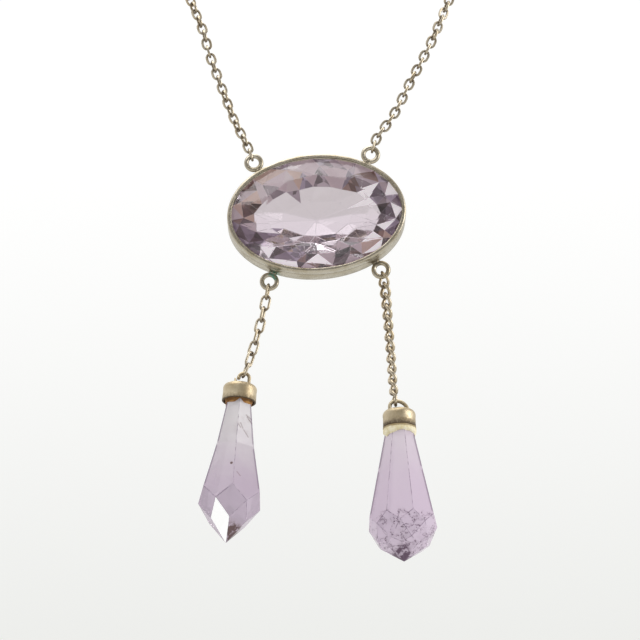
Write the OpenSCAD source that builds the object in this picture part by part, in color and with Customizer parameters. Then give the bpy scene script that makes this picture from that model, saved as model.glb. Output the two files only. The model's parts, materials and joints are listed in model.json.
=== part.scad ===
// Lavaliere necklace. An oval stone in a rub-over collet hangs between the ends of a
// fine neck chain by two soldered rings. Two more rings below it carry a long-link
// chain and a curb chain, each with a faceted drop in a domed cap.
// The origin is the centre of the neck, level with the nape. +Z is up, -Y is the front.

/* [Centre stone] */
// Length of the stone at its girdle, in mm
stone_l = 24.5; // [20:0.5:30]
// Width of the stone at its girdle
stone_w = 16.9; // [14:0.5:20]
// Height of the crown, from girdle to table
crown_h = 2.0; // [1.5:0.1:3]
// Depth of the pavilion, from girdle to culet
pavilion_h = 5.0; // [4:0.1:7]
// Thickness of the girdle
girdle_t = 0.35; // [0.2:0.05:0.6]

/* [Collet] */
// Depth of the collet, front lip to back edge
collet_depth = 3.5; // [3:0.1:5]
// Thickness of the collet's wall
collet_wall = 0.42; // [0.3:0.02:0.7]
// How far the lip is rubbed over the stone's edge
lip_over = 0.4; // [0.3:0.02:0.6]
// Depth of the stone's girdle under the front of the lip
girdle_drop = 0.55; // [0.5:0.05:0.9]
// Anticlockwise turn of the oval, seen from the front
pendant_turn = 4.3; // [0:0.1:10]

/* [Rings] */
// Outer diameter of each soldered ring
ring_d = 2.75; // [2.6:0.05:3.4]
// Wire of the rings
ring_wire = 0.62; // [0.5:0.02:0.62]
// Turn of the two upper rings from the top of the oval
upper_ring_angle = 28; // [20:1:32]
// Turn of the lower left ring from the bottom of the oval
lower_left_angle = 24; // [18:1:32]
// Turn of the lower right ring from the bottom of the oval
lower_right_angle = 29; // [20:1:32]

/* [Neck chain] */
// Width of a neck chain link
neck_link_w = 1.46; // [1.42:0.02:1.8]
// Length of a neck chain link
neck_link_l = 1.86; // [1.8:0.02:2.4]
// Wire of the neck chain
neck_wire = 0.3; // [0.2:0.02:0.32]
// Outward lean of the neck chain where it leaves the upper rings
neck_lean = 20; // [10:1:30]
// Drop from the nape to the middle of the centre stone
neck_drop = 129; // [120:1:140]
// Distance from the neck's centre forward to the front of the collet
neck_forward = 55; // [50:1:60]

/* [Clasp] */
// Length of the barrel clasp
clasp_l = 9; // [7:0.5:12]
// Diameter of the barrel clasp
clasp_d = 3; // [2.4:0.1:4]

/* [Trace chain on the left] */
// Length of one long link
trace_link_l = 2.48; // [2.3:0.02:3]
// Width of one long link
trace_link_w = 1.52; // [1.48:0.02:2]
// Wire of the long links
trace_wire = 0.32; // [0.24:0.02:0.34]

/* [Curb chain on the right] */
// Length of one twisted link
curb_link_l = 2.39; // [2.3:0.01:2.8]
// Width of one twisted link before it is twisted
curb_link_w = 1.6; // [1.56:0.02:1.9]
// Wire of the curb chain
curb_wire = 0.34; // [0.26:0.02:0.34]

/* [Left drop] */
// Outer diameter of the left cap
left_cap_d = 4.84; // [4.6:0.02:5.6]
// Height of the left cap
left_cap_h = 2.58; // [2.3:0.02:3.2]
// Length of the left stone below the cap's rim
left_stone_l = 21.2; // [20:0.1:24]
// Wire of the left bail
left_bail_wire = 0.5; // [0.4:0.02:0.54]
// Lean of the left drop, lower end to the left
left_drop_lean = 4.8; // [0:0.1:8]

/* [Right drop] */
// Outer diameter of the right cap
right_cap_d = 4.68; // [4.6:0.02:5.6]
// Height of the right cap
right_cap_h = 2.57; // [2.3:0.02:3.2]
// Length of the right stone below the cap's rim
right_stone_l = 20.0; // [19:0.1:23]
// Wire of the right bail
right_bail_wire = 0.54; // [0.44:0.02:0.56]
// Lean of the right drop, lower end to the right
right_drop_lean = 1.7; // [0:0.1:6]

/* [Caps] */
// Wall of both caps
cap_wall = 0.25; // [0.2:0.01:0.35]

/* [Hidden] */
$fn = 40;
// Gap between two pieces that could touch
play = 0.08;
// Gap between a stone and the metal or cement round it
stone_fit = 0.08;

metal = [0.69, 0.65, 0.55];
amethyst = [0.80, 0.73, 0.84, 0.8];
cement_brown = [0.62, 0.42, 0.22];
cement_cream = [0.85, 0.78, 0.58];

TRACE = [for (i = [1 : 8]) str("trace_link_", i)];
CURB = [for (i = [1 : 12]) str("curb_link_", i)];

// The face frame is seen from the front: X to the right, Y up, Z towards the viewer,
// with its origin in the middle of the front of the collet.
module at_front() {
    translate([0, -neck_forward, -neck_drop]) rotate([90, 0, 0]) children();
}
function to_row(p) = [p.x, -neck_forward - p.z, -neck_drop + p.y];

function turned(p, a) = [p.x * cos(a) - p.y * sin(a), p.x * sin(a) + p.y * cos(a)];
function down(lean) = [sin(lean), -cos(lean)];
function up(lean) = [sin(lean), cos(lean)];
function unit(v) = v / norm(v);

// The collet follows the stone's ellipse. A place on it is given by the direction of
// its normal, and distances off the girdle are measured along that normal.
function ellipse_point(a, off) = let (n = unit([stone_w * cos(a), stone_l * sin(a)]))
    [stone_l / 2 * cos(a), stone_w / 2 * sin(a)] + off * n;
function ellipse_turn(normal) = atan2(stone_w * sin(normal), stone_l * cos(normal));

// Triangles between the rings of points numbered i and j, each with so many sides
function band_faces(i, j, sides) = [for (k = [0 : sides - 1]) let (q = (k + 1) % sides)
    each [[i * sides + k, j * sides + k, j * sides + q],
        [i * sides + k, j * sides + q, i * sides + q]]];
// Closed surface whose rings of points follow each other round a loop
function loop_faces(steps, sides) =
    [for (i = [0 : steps - 1]) each band_faces(i, (i + 1) % steps, sides)];

// Section of the collet's wall as [distance off the girdle, height]: rim band and groove
// outside, rubbed-over lip in front, and a sloped bearer under the stone.
wall_in = stone_fit;
wall_out = stone_fit + collet_wall;
band_proud = 0.06;
band_h = 1.2;
groove = 0.1;
bearer = 0.2;
bearer_slope = 1.3;
lip_edge = 0.12;
lip_in = stone_fit - lip_over;
seat = -(girdle_drop + girdle_t + 2 * stone_fit);
collet_section = [
    [wall_out, -collet_depth], [wall_out, -band_h - 2.5 * groove],
    [wall_out - groove, -band_h - 2 * groove], [wall_out - groove, -band_h - groove],
    [wall_out + band_proud, -band_h], [wall_out + band_proud, -3 * groove],
    [wall_out, -groove], [wall_out - 1.6 * groove, 0],
    [lip_in + 1.4 * groove, 0], [lip_in + 0.3 * groove, -groove / 2], [lip_in, -lip_edge],
    [lip_in + 0.4 * groove, -lip_edge - groove], [wall_in, -girdle_drop + groove],
    [wall_in, seat], [wall_in - bearer, seat - bearer * bearer_slope],
    [wall_in - bearer, -collet_depth + groove], [wall_in - bearer + groove, -collet_depth]];
collet_steps = 72;
module collet_wall_loop() {
    points = [for (i = [0 : collet_steps - 1]) let (a = -360 * i / collet_steps)
        each [for (p = collet_section) let (e = ellipse_point(a, p.x)) [e.x, e.y, p.y]]];
    polyhedron(points, loop_faces(collet_steps, len(collet_section)));
}

// A ring soldered to the collet, with a blob of solder between it and the wall.
ring_r = (ring_d - ring_wire) / 2;
solder_r = 0.4;
solder_gap = 0.05;
ring_off = wall_out + band_proud + ring_d / 2;
upper_ring_z = -0.45;
lower_ring_z = -(collet_depth - ring_wire / 2 - 0.08);
module wire_ring() {
    rotate_extrude($fn = 64) translate([ring_r, 0]) circle(d = ring_wire);
}
module soldered_ring(normal, z) {
    p = ellipse_point(ellipse_turn(normal), ring_off);
    foot = ellipse_point(ellipse_turn(normal), wall_out + solder_gap);
    translate([p.x, p.y, z]) wire_ring();
    translate([foot.x, foot.y, z]) sphere(r = solder_r);
}

// Directions of the four rings from the middle of the oval's length
upper_left_normal = 90 + upper_ring_angle;
upper_right_normal = 90 - upper_ring_angle;
lower_left_normal = -90 - lower_left_angle;
lower_right_normal = -90 + lower_right_angle;

module centre_collet() {
    color(metal) at_front() rotate([0, 0, pendant_turn]) {
        collet_wall_loop();
        soldered_ring(upper_left_normal, upper_ring_z);
        soldered_ring(upper_right_normal, upper_ring_z);
        soldered_ring(lower_left_normal, lower_ring_z);
        soldered_ring(lower_right_normal, lower_ring_z);
    }
}

// Middle of each ring in the face frame, after the oval's turn
function ring_centre(normal) =
    turned(ellipse_point(ellipse_turn(normal), ring_off), pendant_turn);
upper_left_ring = ring_centre(upper_left_normal);
upper_right_ring = ring_centre(upper_right_normal);
lower_left_ring = ring_centre(lower_left_normal);
lower_right_ring = ring_centre(lower_right_normal);

// Oval brilliant cut. Every ring of vertices is a circle of radius 1 times its share,
// stretched to the oval at the end, which keeps all the facets flat.
gem_fold = 12;
table_share = 0.6;
star_share = 0.79;
culet_share = 0.12;
lower_share = 0.42;
// Height at a share of the radius on the flat facet from share a, height za, to share b, zb
function on_facet(share, a, za, b, zb) =
    za + (zb - za) * (share * cos(180 / gem_fold) - a) / (b - a);
function gem_ring(share, z, half, count) =
    [for (k = [0 : count - 1]) let (a = 360 * (k + half) / count)
        [stone_l / 2 * share * cos(a), stone_w / 2 * share * sin(a), z]];
module centre_stone() {
    n = gem_fold;
    m = 2 * n;
    top = girdle_t / 2;
    star_z = top + on_facet(star_share, 1, 0, table_share, crown_h);
    lower_z = -top + on_facet(lower_share, 1, 0, culet_share, -pavilion_h);
    points = concat(
        gem_ring(table_share, top + crown_h, 0, n),
        gem_ring(star_share, star_z, 0.5, n),
        gem_ring(1, top, 0, m),
        gem_ring(1, -top, 0, m),
        gem_ring(lower_share, lower_z, 0.5, n),
        gem_ring(culet_share, -top - pavilion_h, 0, n));
    star = n;
    upper = 2 * n;
    lower = upper + m;
    deep = lower + m;
    culet = deep + n;
    faces = concat(
        [[for (k = [n - 1 : -1 : 0]) k]],
        [for (k = [0 : n - 1]) let (q = (k + 1) % n) [k, q, star + k]],
        [for (k = [0 : n - 1]) let (p = (k + n - 1) % n) [k, star + k, upper + 2 * k, star + p]],
        [for (k = [0 : n - 1]) [star + k, upper + 2 * k + 1, upper + 2 * k]],
        [for (k = [0 : n - 1]) [star + k, upper + (2 * k + 2) % m, upper + 2 * k + 1]],
        [for (k = [0 : m - 1]) let (q = (k + 1) % m) [upper + k, upper + q, lower + q, lower + k]],
        [for (k = [0 : n - 1]) [deep + k, lower + 2 * k, lower + 2 * k + 1]],
        [for (k = [0 : n - 1]) [deep + k, lower + 2 * k + 1, lower + (2 * k + 2) % m]],
        [for (k = [0 : n - 1]) let (p = (k + n - 1) % n)
            [lower + 2 * k, deep + k, culet + k, deep + p]],
        [for (k = [0 : n - 1]) let (q = (k + 1) % n) [culet + k, deep + k, culet + q]],
        [[for (k = [0 : n - 1]) culet + k]]);
    color(amethyst) at_front() rotate([0, 0, pendant_turn])
        translate([0, 0, -girdle_drop - girdle_t / 2]) polyhedron(points, faces);
}

// A link with straight sides and half-round ends. Its length runs along Y.
module long_link(l, w, wire) {
    for (s = [0, 180]) rotate([0, 0, s]) {
        translate([0, (l - w) / 2, 0]) rotate_extrude(angle = 180)
            translate([(w - wire) / 2, 0]) circle(d = wire);
        translate([(w - wire) / 2, 0, 0]) rotate([90, 0, 0])
            cylinder(d = wire, h = l - w, center = true);
    }
}

// Neck chain. A real link holds each ring, and a tube stands for the links beyond it.
neck_tube_d = neck_link_w;
link_reach = neck_link_l - neck_link_w / 2;
left_contact = upper_left_ring + ring_r * up(-neck_lean);
right_contact = upper_right_ring + ring_r * up(neck_lean);
module neck_end_link(contact, lean) {
    c = contact + (neck_link_l - neck_link_w) / 2 * up(lean);
    color(metal) at_front() translate([c.x, c.y, upper_ring_z])
        rotate([0, 0, -lean]) rotate([0, 90, 0]) long_link(neck_link_l, neck_link_w, neck_wire);
}

// The route of each half of the chain: up the chest on the front view from near its ring,
// and then round the neck.
left_route = [[-11.9, 14.5, -0.4], [-13.9, 20.1, -0.5], [-15.5, 24.8, -0.6], [-17.4, 31, -0.8]];
right_route = [[11.2, 15.4, -0.4], [13.4, 20.1, -0.5], [16.2, 25.8, -0.6], [18.3, 31, -0.8]];
neck_route = [[27, -50, -74], [37, -41, -50], [46, -27, -30], [52, -9, -17], [53, 10, -9],
    [44, 27, -4], [26, 39, -1]];
nape = [0, 43.5, 0];

function mirrored(p) = [-p.x, p.y, p.z];
function spline_point(a, b, c, d, t) =
    (2 * b + (c - a) * t + (2 * a - 5 * b + 4 * c - d) * t * t
        + (3 * b - a - 3 * c + d) * t * t * t) / 2;
function smoothed(p, steps) = let (n = len(p)) concat(
    [for (i = [0 : n - 2], k = [0 : steps - 1])
        spline_point(i > 0 ? p[i - 1] : 2 * p[0] - p[1], p[i], p[i + 1],
            i < n - 2 ? p[i + 2] : 2 * p[n - 1] - p[n - 2], k / steps)],
    [p[n - 1]]);
// Tube along a route, which never runs along the aside direction
tube_sides = 8;
module tube(path, d, aside) {
    n = len(path);
    function ahead(i) = unit(path[min(i + 1, n - 1)] - path[max(i - 1, 0)]);
    function ring(i) = let (t = ahead(i), s = unit(cross(t, aside)), q = cross(t, s))
        [for (k = [0 : tube_sides - 1]) let (a = 360 * (k + 0.5) / tube_sides)
            path[i] + d / 2 * (cos(a) * s + sin(a) * q)];
    points = [for (i = [0 : n - 1]) each ring(i)];
    faces = concat(
        [[for (k = [0 : tube_sides - 1]) k]],
        [for (i = [0 : n - 2]) each band_faces(i, i + 1, tube_sides)],
        [[for (k = [tube_sides - 1 : -1 : 0]) (n - 1) * tube_sides + k]]);
    polyhedron(points, faces);
}

// Clasp: a barrel with domed ends and an eye at each end.
eye_x = clasp_l / 2 + ring_r - 0.1;
eye_contact = eye_x + ring_r;
clasp_reach = eye_contact + link_reach + play;
module clasp() {
    color(metal) translate(nape) {
        rotate([0, 90, 0]) rotate_extrude() {
            square([clasp_d / 2, clasp_l / 2 - 0.4]);
            mirror([0, 1]) square([clasp_d / 2, clasp_l / 2 - 0.4]);
            square([clasp_d / 2 - 0.4, clasp_l / 2]);
            mirror([0, 1]) square([clasp_d / 2 - 0.4, clasp_l / 2]);
        }
        for (s = [-1, 1]) translate([s * eye_x, 0, 0]) rotate([90, 0, 0]) wire_ring();
    }
}
module clasp_link(s) {
    color(metal) translate(nape + [s * (eye_contact + (neck_link_l - neck_link_w) / 2), 0, 0])
        rotate([0, 0, 90]) long_link(neck_link_l, neck_link_w, neck_wire);
}

module neck_chain(contact, lean, route, s) {
    first = contact + (link_reach + play) * up(lean);
    hidden = [for (p = neck_route) s > 0 ? p : mirrored(p)];
    path = concat([to_row([first.x, first.y, upper_ring_z])],
        [for (p = route) to_row(p)], hidden,
        [nape + [s * clasp_reach, 0, 0]]);
    color(metal) tube(smoothed(path, 3), neck_tube_d, [0, -0.8, 0.6]);
}

// A hanging chain. Its links lean from the top to the bottom as a table of
// [share of the way down, lean in degrees] says.
trace_count = len(TRACE);
curb_count = len(CURB);
trace_lean = [[0, -10], [0.5, -14], [1, -20]];
curb_lean = [[0, 10], [0.2, 4.5], [0.7, 4], [1, 8]];
// [share of the way down, turn in degrees from facing the viewer]
trace_roll = [[0, 8], [0.72, 20], [0.86, 38], [1, 68]];
curb_roll = [[0, 60], [0.25, 46], [0.4, 56], [1, 112]];

function share_of(i, n) = i / (n - 1);
function chain_step(i, n, table, pitch) =
    pitch * down((lookup(share_of(i - 1, n), table) + lookup(share_of(i, n), table)) / 2);
function link_centre(i, n, table, pitch, start) =
    i == 0 ? start : link_centre(i - 1, n, table, pitch, start) + chain_step(i, n, table, pitch);
function last_lean(table) = lookup(1, table);
function first_lean(table) = lookup(0, table);

trace_pitch = trace_link_l - 2 * trace_wire - play;
trace_end = (trace_link_l - trace_link_w) / 2;
trace_start = lower_left_ring + (ring_r + trace_end) * down(first_lean(trace_lean));
trace_last = link_centre(trace_count - 1, trace_count, trace_lean, trace_pitch, trace_start);
left_hang = trace_last + trace_end * down(last_lean(trace_lean));

curb_pitch = curb_link_l - 2 * curb_wire - play;
curb_centre_l = curb_link_l - curb_wire;
curb_ring_end = curb_link_l / 2 - curb_wire - play - ring_wire / 2;
curb_bail_end = curb_link_l / 2 - curb_wire - play - right_bail_wire / 2;
curb_start = lower_right_ring + (ring_r + curb_ring_end) * down(first_lean(curb_lean));
curb_last = link_centre(curb_count - 1, curb_count, curb_lean, curb_pitch, curb_start);
right_hang = curb_last + curb_bail_end * down(last_lean(curb_lean));

module hung_link(i, n, lean_table, pitch, start, roll) {
    c = link_centre(i, n, lean_table, pitch, start);
    color(metal) at_front() translate([c.x, c.y, lower_ring_z])
        rotate([0, 0, lookup(share_of(i, n), lean_table)]) rotate([0, -roll, 0]) children();
}
module trace_link(i) {
    crossed = i % 2 == 0 ? 90 : 0;
    hung_link(i, trace_count, trace_lean, trace_pitch, trace_start,
        crossed + lookup(share_of(i, trace_count), trace_roll))
        long_link(trace_link_l, trace_link_w, trace_wire);
}

// A curb link is an oval wire whose two ends are twisted apart by twice the twist.
curb_twist = 45;
curb_steps = 16;
wire_sides = 6;
function curb_point(t) =
    let (lateral = (curb_link_w - curb_wire) / 2 * sin(t), a = curb_twist * cos(t))
    [lateral * cos(a), curb_centre_l / 2 * cos(t), lateral * sin(a)];
module curb_wire_loop() {
    points = [for (i = [0 : curb_steps - 1])
        let (t = 360 * i / curb_steps, p = curb_point(t),
            ahead = unit(curb_point(t + 4) - curb_point(t - 4)),
            s = unit(cross(ahead, [0, 0, 1])), q = cross(ahead, s))
        each [for (k = [0 : wire_sides - 1]) let (a = 360 * k / wire_sides)
            p + curb_wire / 2 * (cos(a) * s + sin(a) * q)]];
    polyhedron(points, loop_faces(curb_steps, wire_sides));
}
module curb_link(i) {
    hung_link(i, curb_count, curb_lean, curb_pitch, curb_start,
        lookup(share_of(i, curb_count), curb_roll)) curb_wire_loop();
}

// Drops. Each is built with the middle of its cap's rim at the origin and hangs down -Y.
module hang(point, crown, lean) {
    at_front() translate([point.x, point.y, lower_ring_z]) rotate([0, 0, lean])
        translate([-crown.x, -crown.y, 0]) children();
}
// The cap's wall turns over its shoulder in a quarter round
cap_round = 0.72;
shoulder_step = 15;
function shoulder(r, h, c, turns) =
    [for (a = turns) [r - c + c * cos(a), h - c + c * sin(a)]];
module cap_shell(d, h) {
    inner_round = cap_round - cap_wall / 2;
    rotate([-90, 0, 0]) rotate_extrude($fn = 64) polygon(concat(
        [[d / 2 - cap_wall, 0], [d / 2, 0]],
        shoulder(d / 2, h, cap_round, [0 : shoulder_step : 90]),
        [[0, h], [0, h - cap_wall]],
        shoulder(d / 2 - cap_wall, h - cap_wall, inner_round, [90 : -shoulder_step : 0])));
}

// Part of a wire hoop in the XY plane, from angle a to angle b.
module bent_wire(r, a, b, wire) {
    rotate([0, 0, a]) rotate_extrude(angle = b - a, $fn = 64) translate([r, 0]) circle(d = wire);
}
module wire_leg(x, y0, y1, wire) {
    translate([x, y1, 0]) rotate([90, 0, 0]) cylinder(d = wire, h = y1 - y0, $fn = 24);
}

// Left bail: a hook bent up from one leg, whose other end has come off its stub.
hook_r = 0.75;
hook_x = 0.42;
hook_y = 1.07;
hook_end = 195;
stub_x = -0.62;
stub_h = 0.5;
left_crown = [hook_x, left_cap_h + hook_y + hook_r];
module left_cap() {
    w = left_bail_wire;
    color(metal) hang(left_hang, left_crown, -left_drop_lean) {
        cap_shell(left_cap_d, left_cap_h);
        wire_leg(hook_x + hook_r, left_cap_h - cap_wall / 2, left_cap_h + hook_y, w);
        translate([hook_x, left_cap_h + hook_y, 0]) bent_wire(hook_r, 0, hook_end, w);
        wire_leg(stub_x, left_cap_h - cap_wall / 2, left_cap_h + stub_h, w);
    }
}

// Right bail: an uneven arch, tight on the left of its crown and slack on the right.
arch_x = -0.42;
arch_top = 1.5;
arch_left_r = 0.86;
arch_right_r = 1.7;
arch_foot = 2.5;
arch_steps = 6;
right_crown = [arch_x, right_cap_h + arch_top];
function arch_arc(r, a, b, first) = [for (k = [first : arch_steps])
    let (t = a + (b - a) * k / arch_steps)
    [right_crown.x + r * cos(t), right_crown.y - r + r * sin(t), 0]];
module right_cap() {
    route = concat([[arch_x - arch_left_r, right_cap_h - cap_wall / 2, 0]],
        arch_arc(arch_left_r, 180, 90, 0), arch_arc(arch_right_r, 90, arch_foot, 1));
    color(metal) hang(right_hang, right_crown, right_drop_lean) {
        cap_shell(right_cap_d, right_cap_h);
        tube(route, right_bail_wire, [0, 0, 1]);
    }
}

// Faceted drop. Rings of vertices are [radius, depth below the rim]. The body's rings
// stand at the body's edges. Below them the rings stand by turns at the edges and
// between them, so that each facet is a flat kite.
function meet(p, q, r, s) =
    let (m = (q.x - p.x) / (q.y - p.y), k = (s.x - r.x) / (s.y - r.y),
        z = (r.x - p.x + m * p.y - k * r.y) / (m - k))
    [p.x + m * (z - p.y), z];
function along(p, q, z) = [p.x + (q.x - p.x) * (z - p.y) / (q.y - p.y), z];

module faceted_drop(fold, body, kites, tip, turn) {
    rings = concat(body, kites);
    b = len(body);
    n = len(rings);
    points = concat(
        [for (i = [0 : n - 1]) let (half = i < b ? 0 : (i - b + 1) % 2 * 0.5)
            each [for (k = [0 : fold - 1]) let (a = turn + 360 * (k + half) / fold)
                [rings[i].x * sin(a), -rings[i].y, rings[i].x * cos(a)]]],
        [[0, -tip, 0]]);
    function v(i, k) = i * fold + (k + fold) % fold;
    faces = concat(
        [[for (k = [fold - 1 : -1 : 0]) v(0, k)]],
        [for (i = [0 : b - 3], k = [0 : fold - 1])
            [v(i, k), v(i, k + 1), v(i + 1, k + 1), v(i + 1, k)]],
        [for (k = [0 : fold - 1])
            [v(b - 2, k), v(b - 2, k + 1), v(b - 1, k + 1), v(b, k), v(b - 1, k)]],
        [for (i = [b - 1 : n - 3], k = [0 : fold - 1]) let (back = (i - b + 1) % 2 == 0 ? 1 : 0)
            [v(i, k), v(i + 1, k - back + 1), v(i + 2, k), v(i + 1, k - back)]],
        [for (k = [0 : fold - 1]) let (back = (n - 2 - b + 1) % 2 == 0 ? 1 : 0)
            [v(n - 2, k), v(n - 1, k - back + 1), n * fold, v(n - 1, k - back)]]);
    polyhedron(points, faces);
}

// How far each stone runs up inside its cap
stone_rise = 1.3;

left_fold = 6;
left_turn = -4;
left_rim_r = 1.9;
left_waist_r = 3.05;
left_waist = 0.33 * left_stone_l;
left_edge_r = 4.65;
left_edge = 0.65 * left_stone_l;
left_shoulder = 0.745 * left_stone_l;
left_top = along([left_rim_r, 0], [left_waist_r, left_waist], -stone_rise);
left_e = [left_edge_r, left_edge];
left_f = let (c = cos(180 / left_fold),
    f = along([left_waist_r, left_waist], left_e, left_shoulder)) [f.x * c, f.y];
left_g = let (c = cos(180 / left_fold))
    meet(left_e, [left_f.x * c, left_f.y], [left_f.x / c, left_f.y], [0, left_stone_l]);
left_body = [left_top, [left_waist_r, left_waist], left_e];
module left_drop_stone() {
    color(amethyst) hang(left_hang, left_crown, -left_drop_lean)
        faceted_drop(left_fold, left_body, [left_f, left_g], left_stone_l, left_turn);
}

right_fold = 8;
right_turn = 17;
right_rim_r = 2.0;
right_waist_r = 3.4;
right_waist = 0.33 * right_stone_l;
right_edge_r = 4.94;
right_edge = 0.685 * right_stone_l;
right_shoulder = 0.76 * right_stone_l;
right_belt = 0.87 * right_stone_l;
right_top = along([right_rim_r, 0], [right_waist_r, right_waist], -stone_rise);
right_e = [right_edge_r, right_edge];
right_f = let (c = cos(180 / right_fold),
    f = along([right_waist_r, right_waist], right_e, right_shoulder)) [f.x * c, f.y];
right_g = let (c = cos(180 / right_fold))
    along(right_e, [right_f.x * c, right_f.y], right_belt);
right_h = let (c = cos(180 / right_fold))
    meet(right_f, [right_g.x * c, right_g.y], [right_g.x / c, right_g.y], [0, right_stone_l]);
right_body = [right_top, [right_waist_r, right_waist], right_e];
module right_drop_stone() {
    color(amethyst) hang(right_hang, right_crown, right_drop_lean)
        faceted_drop(right_fold, right_body, [right_f, right_g, right_h], right_stone_l,
            right_turn);
}

// Cement fills each cap round the head of its stone. Its pocket follows the stone's sides.
module stone_pocket(fold, rim_r, low_r, low, turn) {
    r1 = along([rim_r, 0], [low_r, low], -stone_rise - 0.2).x + 1.2 * stone_fit;
    r2 = along([rim_r, 0], [low_r, low], 3).x + 1.2 * stone_fit;
    points = [for (i = [0, 1]) each [for (k = [0 : fold - 1]) let (a = turn + 360 * k / fold)
        [(i == 0 ? r1 : r2) * sin(a), i == 0 ? stone_rise + 0.2 : -3, (i == 0 ? r1 : r2) * cos(a)]]];
    faces = concat(
        [[for (k = [fold - 1 : -1 : 0]) k]],
        [for (k = [0 : fold - 1]) let (q = (k + 1) % fold) [k, q, fold + q, fold + k]],
        [[for (k = [0 : fold - 1]) fold + k]]);
    polyhedron(points, faces);
}
left_recess = 0.25;
module left_cement() {
    r = left_cap_d / 2 - cap_wall - stone_fit;
    color(cement_brown) hang(left_hang, left_crown, -left_drop_lean) difference() {
        translate([0, left_recess, 0]) rotate([-90, 0, 0])
            cylinder(r = r, h = left_cap_h - cap_round - cap_wall - stone_fit - left_recess, $fn = 64);
        stone_pocket(left_fold, left_rim_r, left_waist_r, left_waist, left_turn);
    }
}
collar_h = 1.25;
collar_r = 2.42;
module right_cement() {
    r = right_cap_d / 2 - cap_wall - stone_fit;
    color(cement_cream) hang(right_hang, right_crown, right_drop_lean) difference() {
        rotate([-90, 0, 0]) {
            translate([0, 0, -stone_fit])
                cylinder(r = r, h = right_cap_h - cap_round - cap_wall + stone_fit, $fn = 64);
            translate([0, 0, -collar_h]) cylinder(r1 = collar_r, r2 = right_cap_d / 2 - 0.08,
                h = collar_h - stone_fit, $fn = 64);
        }
        stone_pocket(right_fold, right_rim_r, right_waist_r, right_waist, right_turn);
    }
}

centre_collet();
centre_stone();
neck_chain(left_contact, -neck_lean, left_route, -1);  // neck_chain_left
neck_chain(right_contact, neck_lean, right_route, 1);  // neck_chain_right
neck_end_link(left_contact, -neck_lean);  // neck_end_link_left
neck_end_link(right_contact, neck_lean);  // neck_end_link_right
clasp();
clasp_link(-1);  // clasp_link_left
clasp_link(1);  // clasp_link_right
left_cap();
left_cement();
left_drop_stone();
right_cap();
right_cement();
right_drop_stone();
for (i = [0 : trace_count - 1]) trace_link(i);
for (i = [0 : curb_count - 1]) curb_link(i);
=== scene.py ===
# %% [markdown]
# # A lavaliere necklace
# A lavaliere hangs several parts from a fine neck chain: here an oval stone in a collet, and
# two long faceted drops on short chains of unequal length. The frame brings the solids at
# their real size. This script gives every piece its surface: worn pale metal, hundreds of
# small wire links, rough cement and clear lilac stone. Each step first says what the piece
# is, how it could be made, and why this way was chosen.

# %% The frame
import json
import math

import bpy
import numpy as np
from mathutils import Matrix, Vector


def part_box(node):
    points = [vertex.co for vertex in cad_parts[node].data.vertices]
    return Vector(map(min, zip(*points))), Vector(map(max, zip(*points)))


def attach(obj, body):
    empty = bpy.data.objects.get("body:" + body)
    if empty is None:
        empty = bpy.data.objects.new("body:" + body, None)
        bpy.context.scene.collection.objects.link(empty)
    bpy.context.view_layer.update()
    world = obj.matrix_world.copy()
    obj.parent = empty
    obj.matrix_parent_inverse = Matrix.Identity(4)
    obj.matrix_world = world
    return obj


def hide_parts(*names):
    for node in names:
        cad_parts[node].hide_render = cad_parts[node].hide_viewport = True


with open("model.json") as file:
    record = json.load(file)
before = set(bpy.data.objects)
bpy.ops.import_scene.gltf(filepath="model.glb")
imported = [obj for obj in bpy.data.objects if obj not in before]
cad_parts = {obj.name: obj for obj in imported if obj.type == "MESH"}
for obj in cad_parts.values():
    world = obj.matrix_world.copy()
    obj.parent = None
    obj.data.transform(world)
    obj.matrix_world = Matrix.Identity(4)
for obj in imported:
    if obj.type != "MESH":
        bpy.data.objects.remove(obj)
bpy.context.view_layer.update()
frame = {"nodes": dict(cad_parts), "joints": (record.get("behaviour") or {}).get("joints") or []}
nodes = frame["nodes"]
print("nodes in the frame:", len(nodes))

# %% [markdown]
# ## One frame for the front view
# The pendant is flat, so it is easiest to think of it as drawn on paper: X to the right,
# Y up the paper and Z towards the viewer, in millimetres, from the middle of the collet's
# front. The origin of that drawing is read from the frame, so the pieces can't drift from
# the solids that they stand for.

# %% Millimetres on the front view to metres in the frame
MM = 0.001
stone_low, stone_high = (np.array(corner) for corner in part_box("centre_stone"))
COLLET_FRONT = np.array([
    (stone_low[0] + stone_high[0]) / 2,
    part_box("centre_collet")[0][1],
    (stone_low[2] + stone_high[2]) / 2,
])


def to_row(points):
    """Front-view millimetres to frame metres: X stays, Y goes up and Z comes forward."""
    p = np.asarray(points, float)
    return COLLET_FRONT + MM * np.stack([p[..., 0], -p[..., 2], p[..., 1]], -1)


def front_direction(v):
    """A direction in the frame's axes as one on the front view."""
    return np.stack([v[..., 0], v[..., 2], -v[..., 1]], -1)


def to_front(points):
    """The way back, from frame metres to front-view millimetres."""
    return front_direction((np.asarray(points, float) - COLLET_FRONT) / MM)


def middle_of(node):
    """The middle of a node's box on the front view, in millimetres."""
    low, high = (np.array(corner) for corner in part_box(node))
    return to_front((low + high) / 2)


print("collet front at", np.round(COLLET_FRONT, 4))

# %% [markdown]
# ## The camera
# The picture was taken from a little below the necklace, with a fairly long lens. A point
# that is farther away lies lower in the picture, which gives the tilt. The scale is 7 pixels
# for each millimetre across, so the focal length follows from the camera's distance.

# %% Camera
PICTURE_SIZE = 640
PIXELS_PER_MM = 7.0
COLLET_PIXEL = (316.6, 212.5)
CAMERA_DISTANCE = 1.2
CAMERA_TILT = math.radians(20)
SENSOR_MM = 36.0

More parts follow.
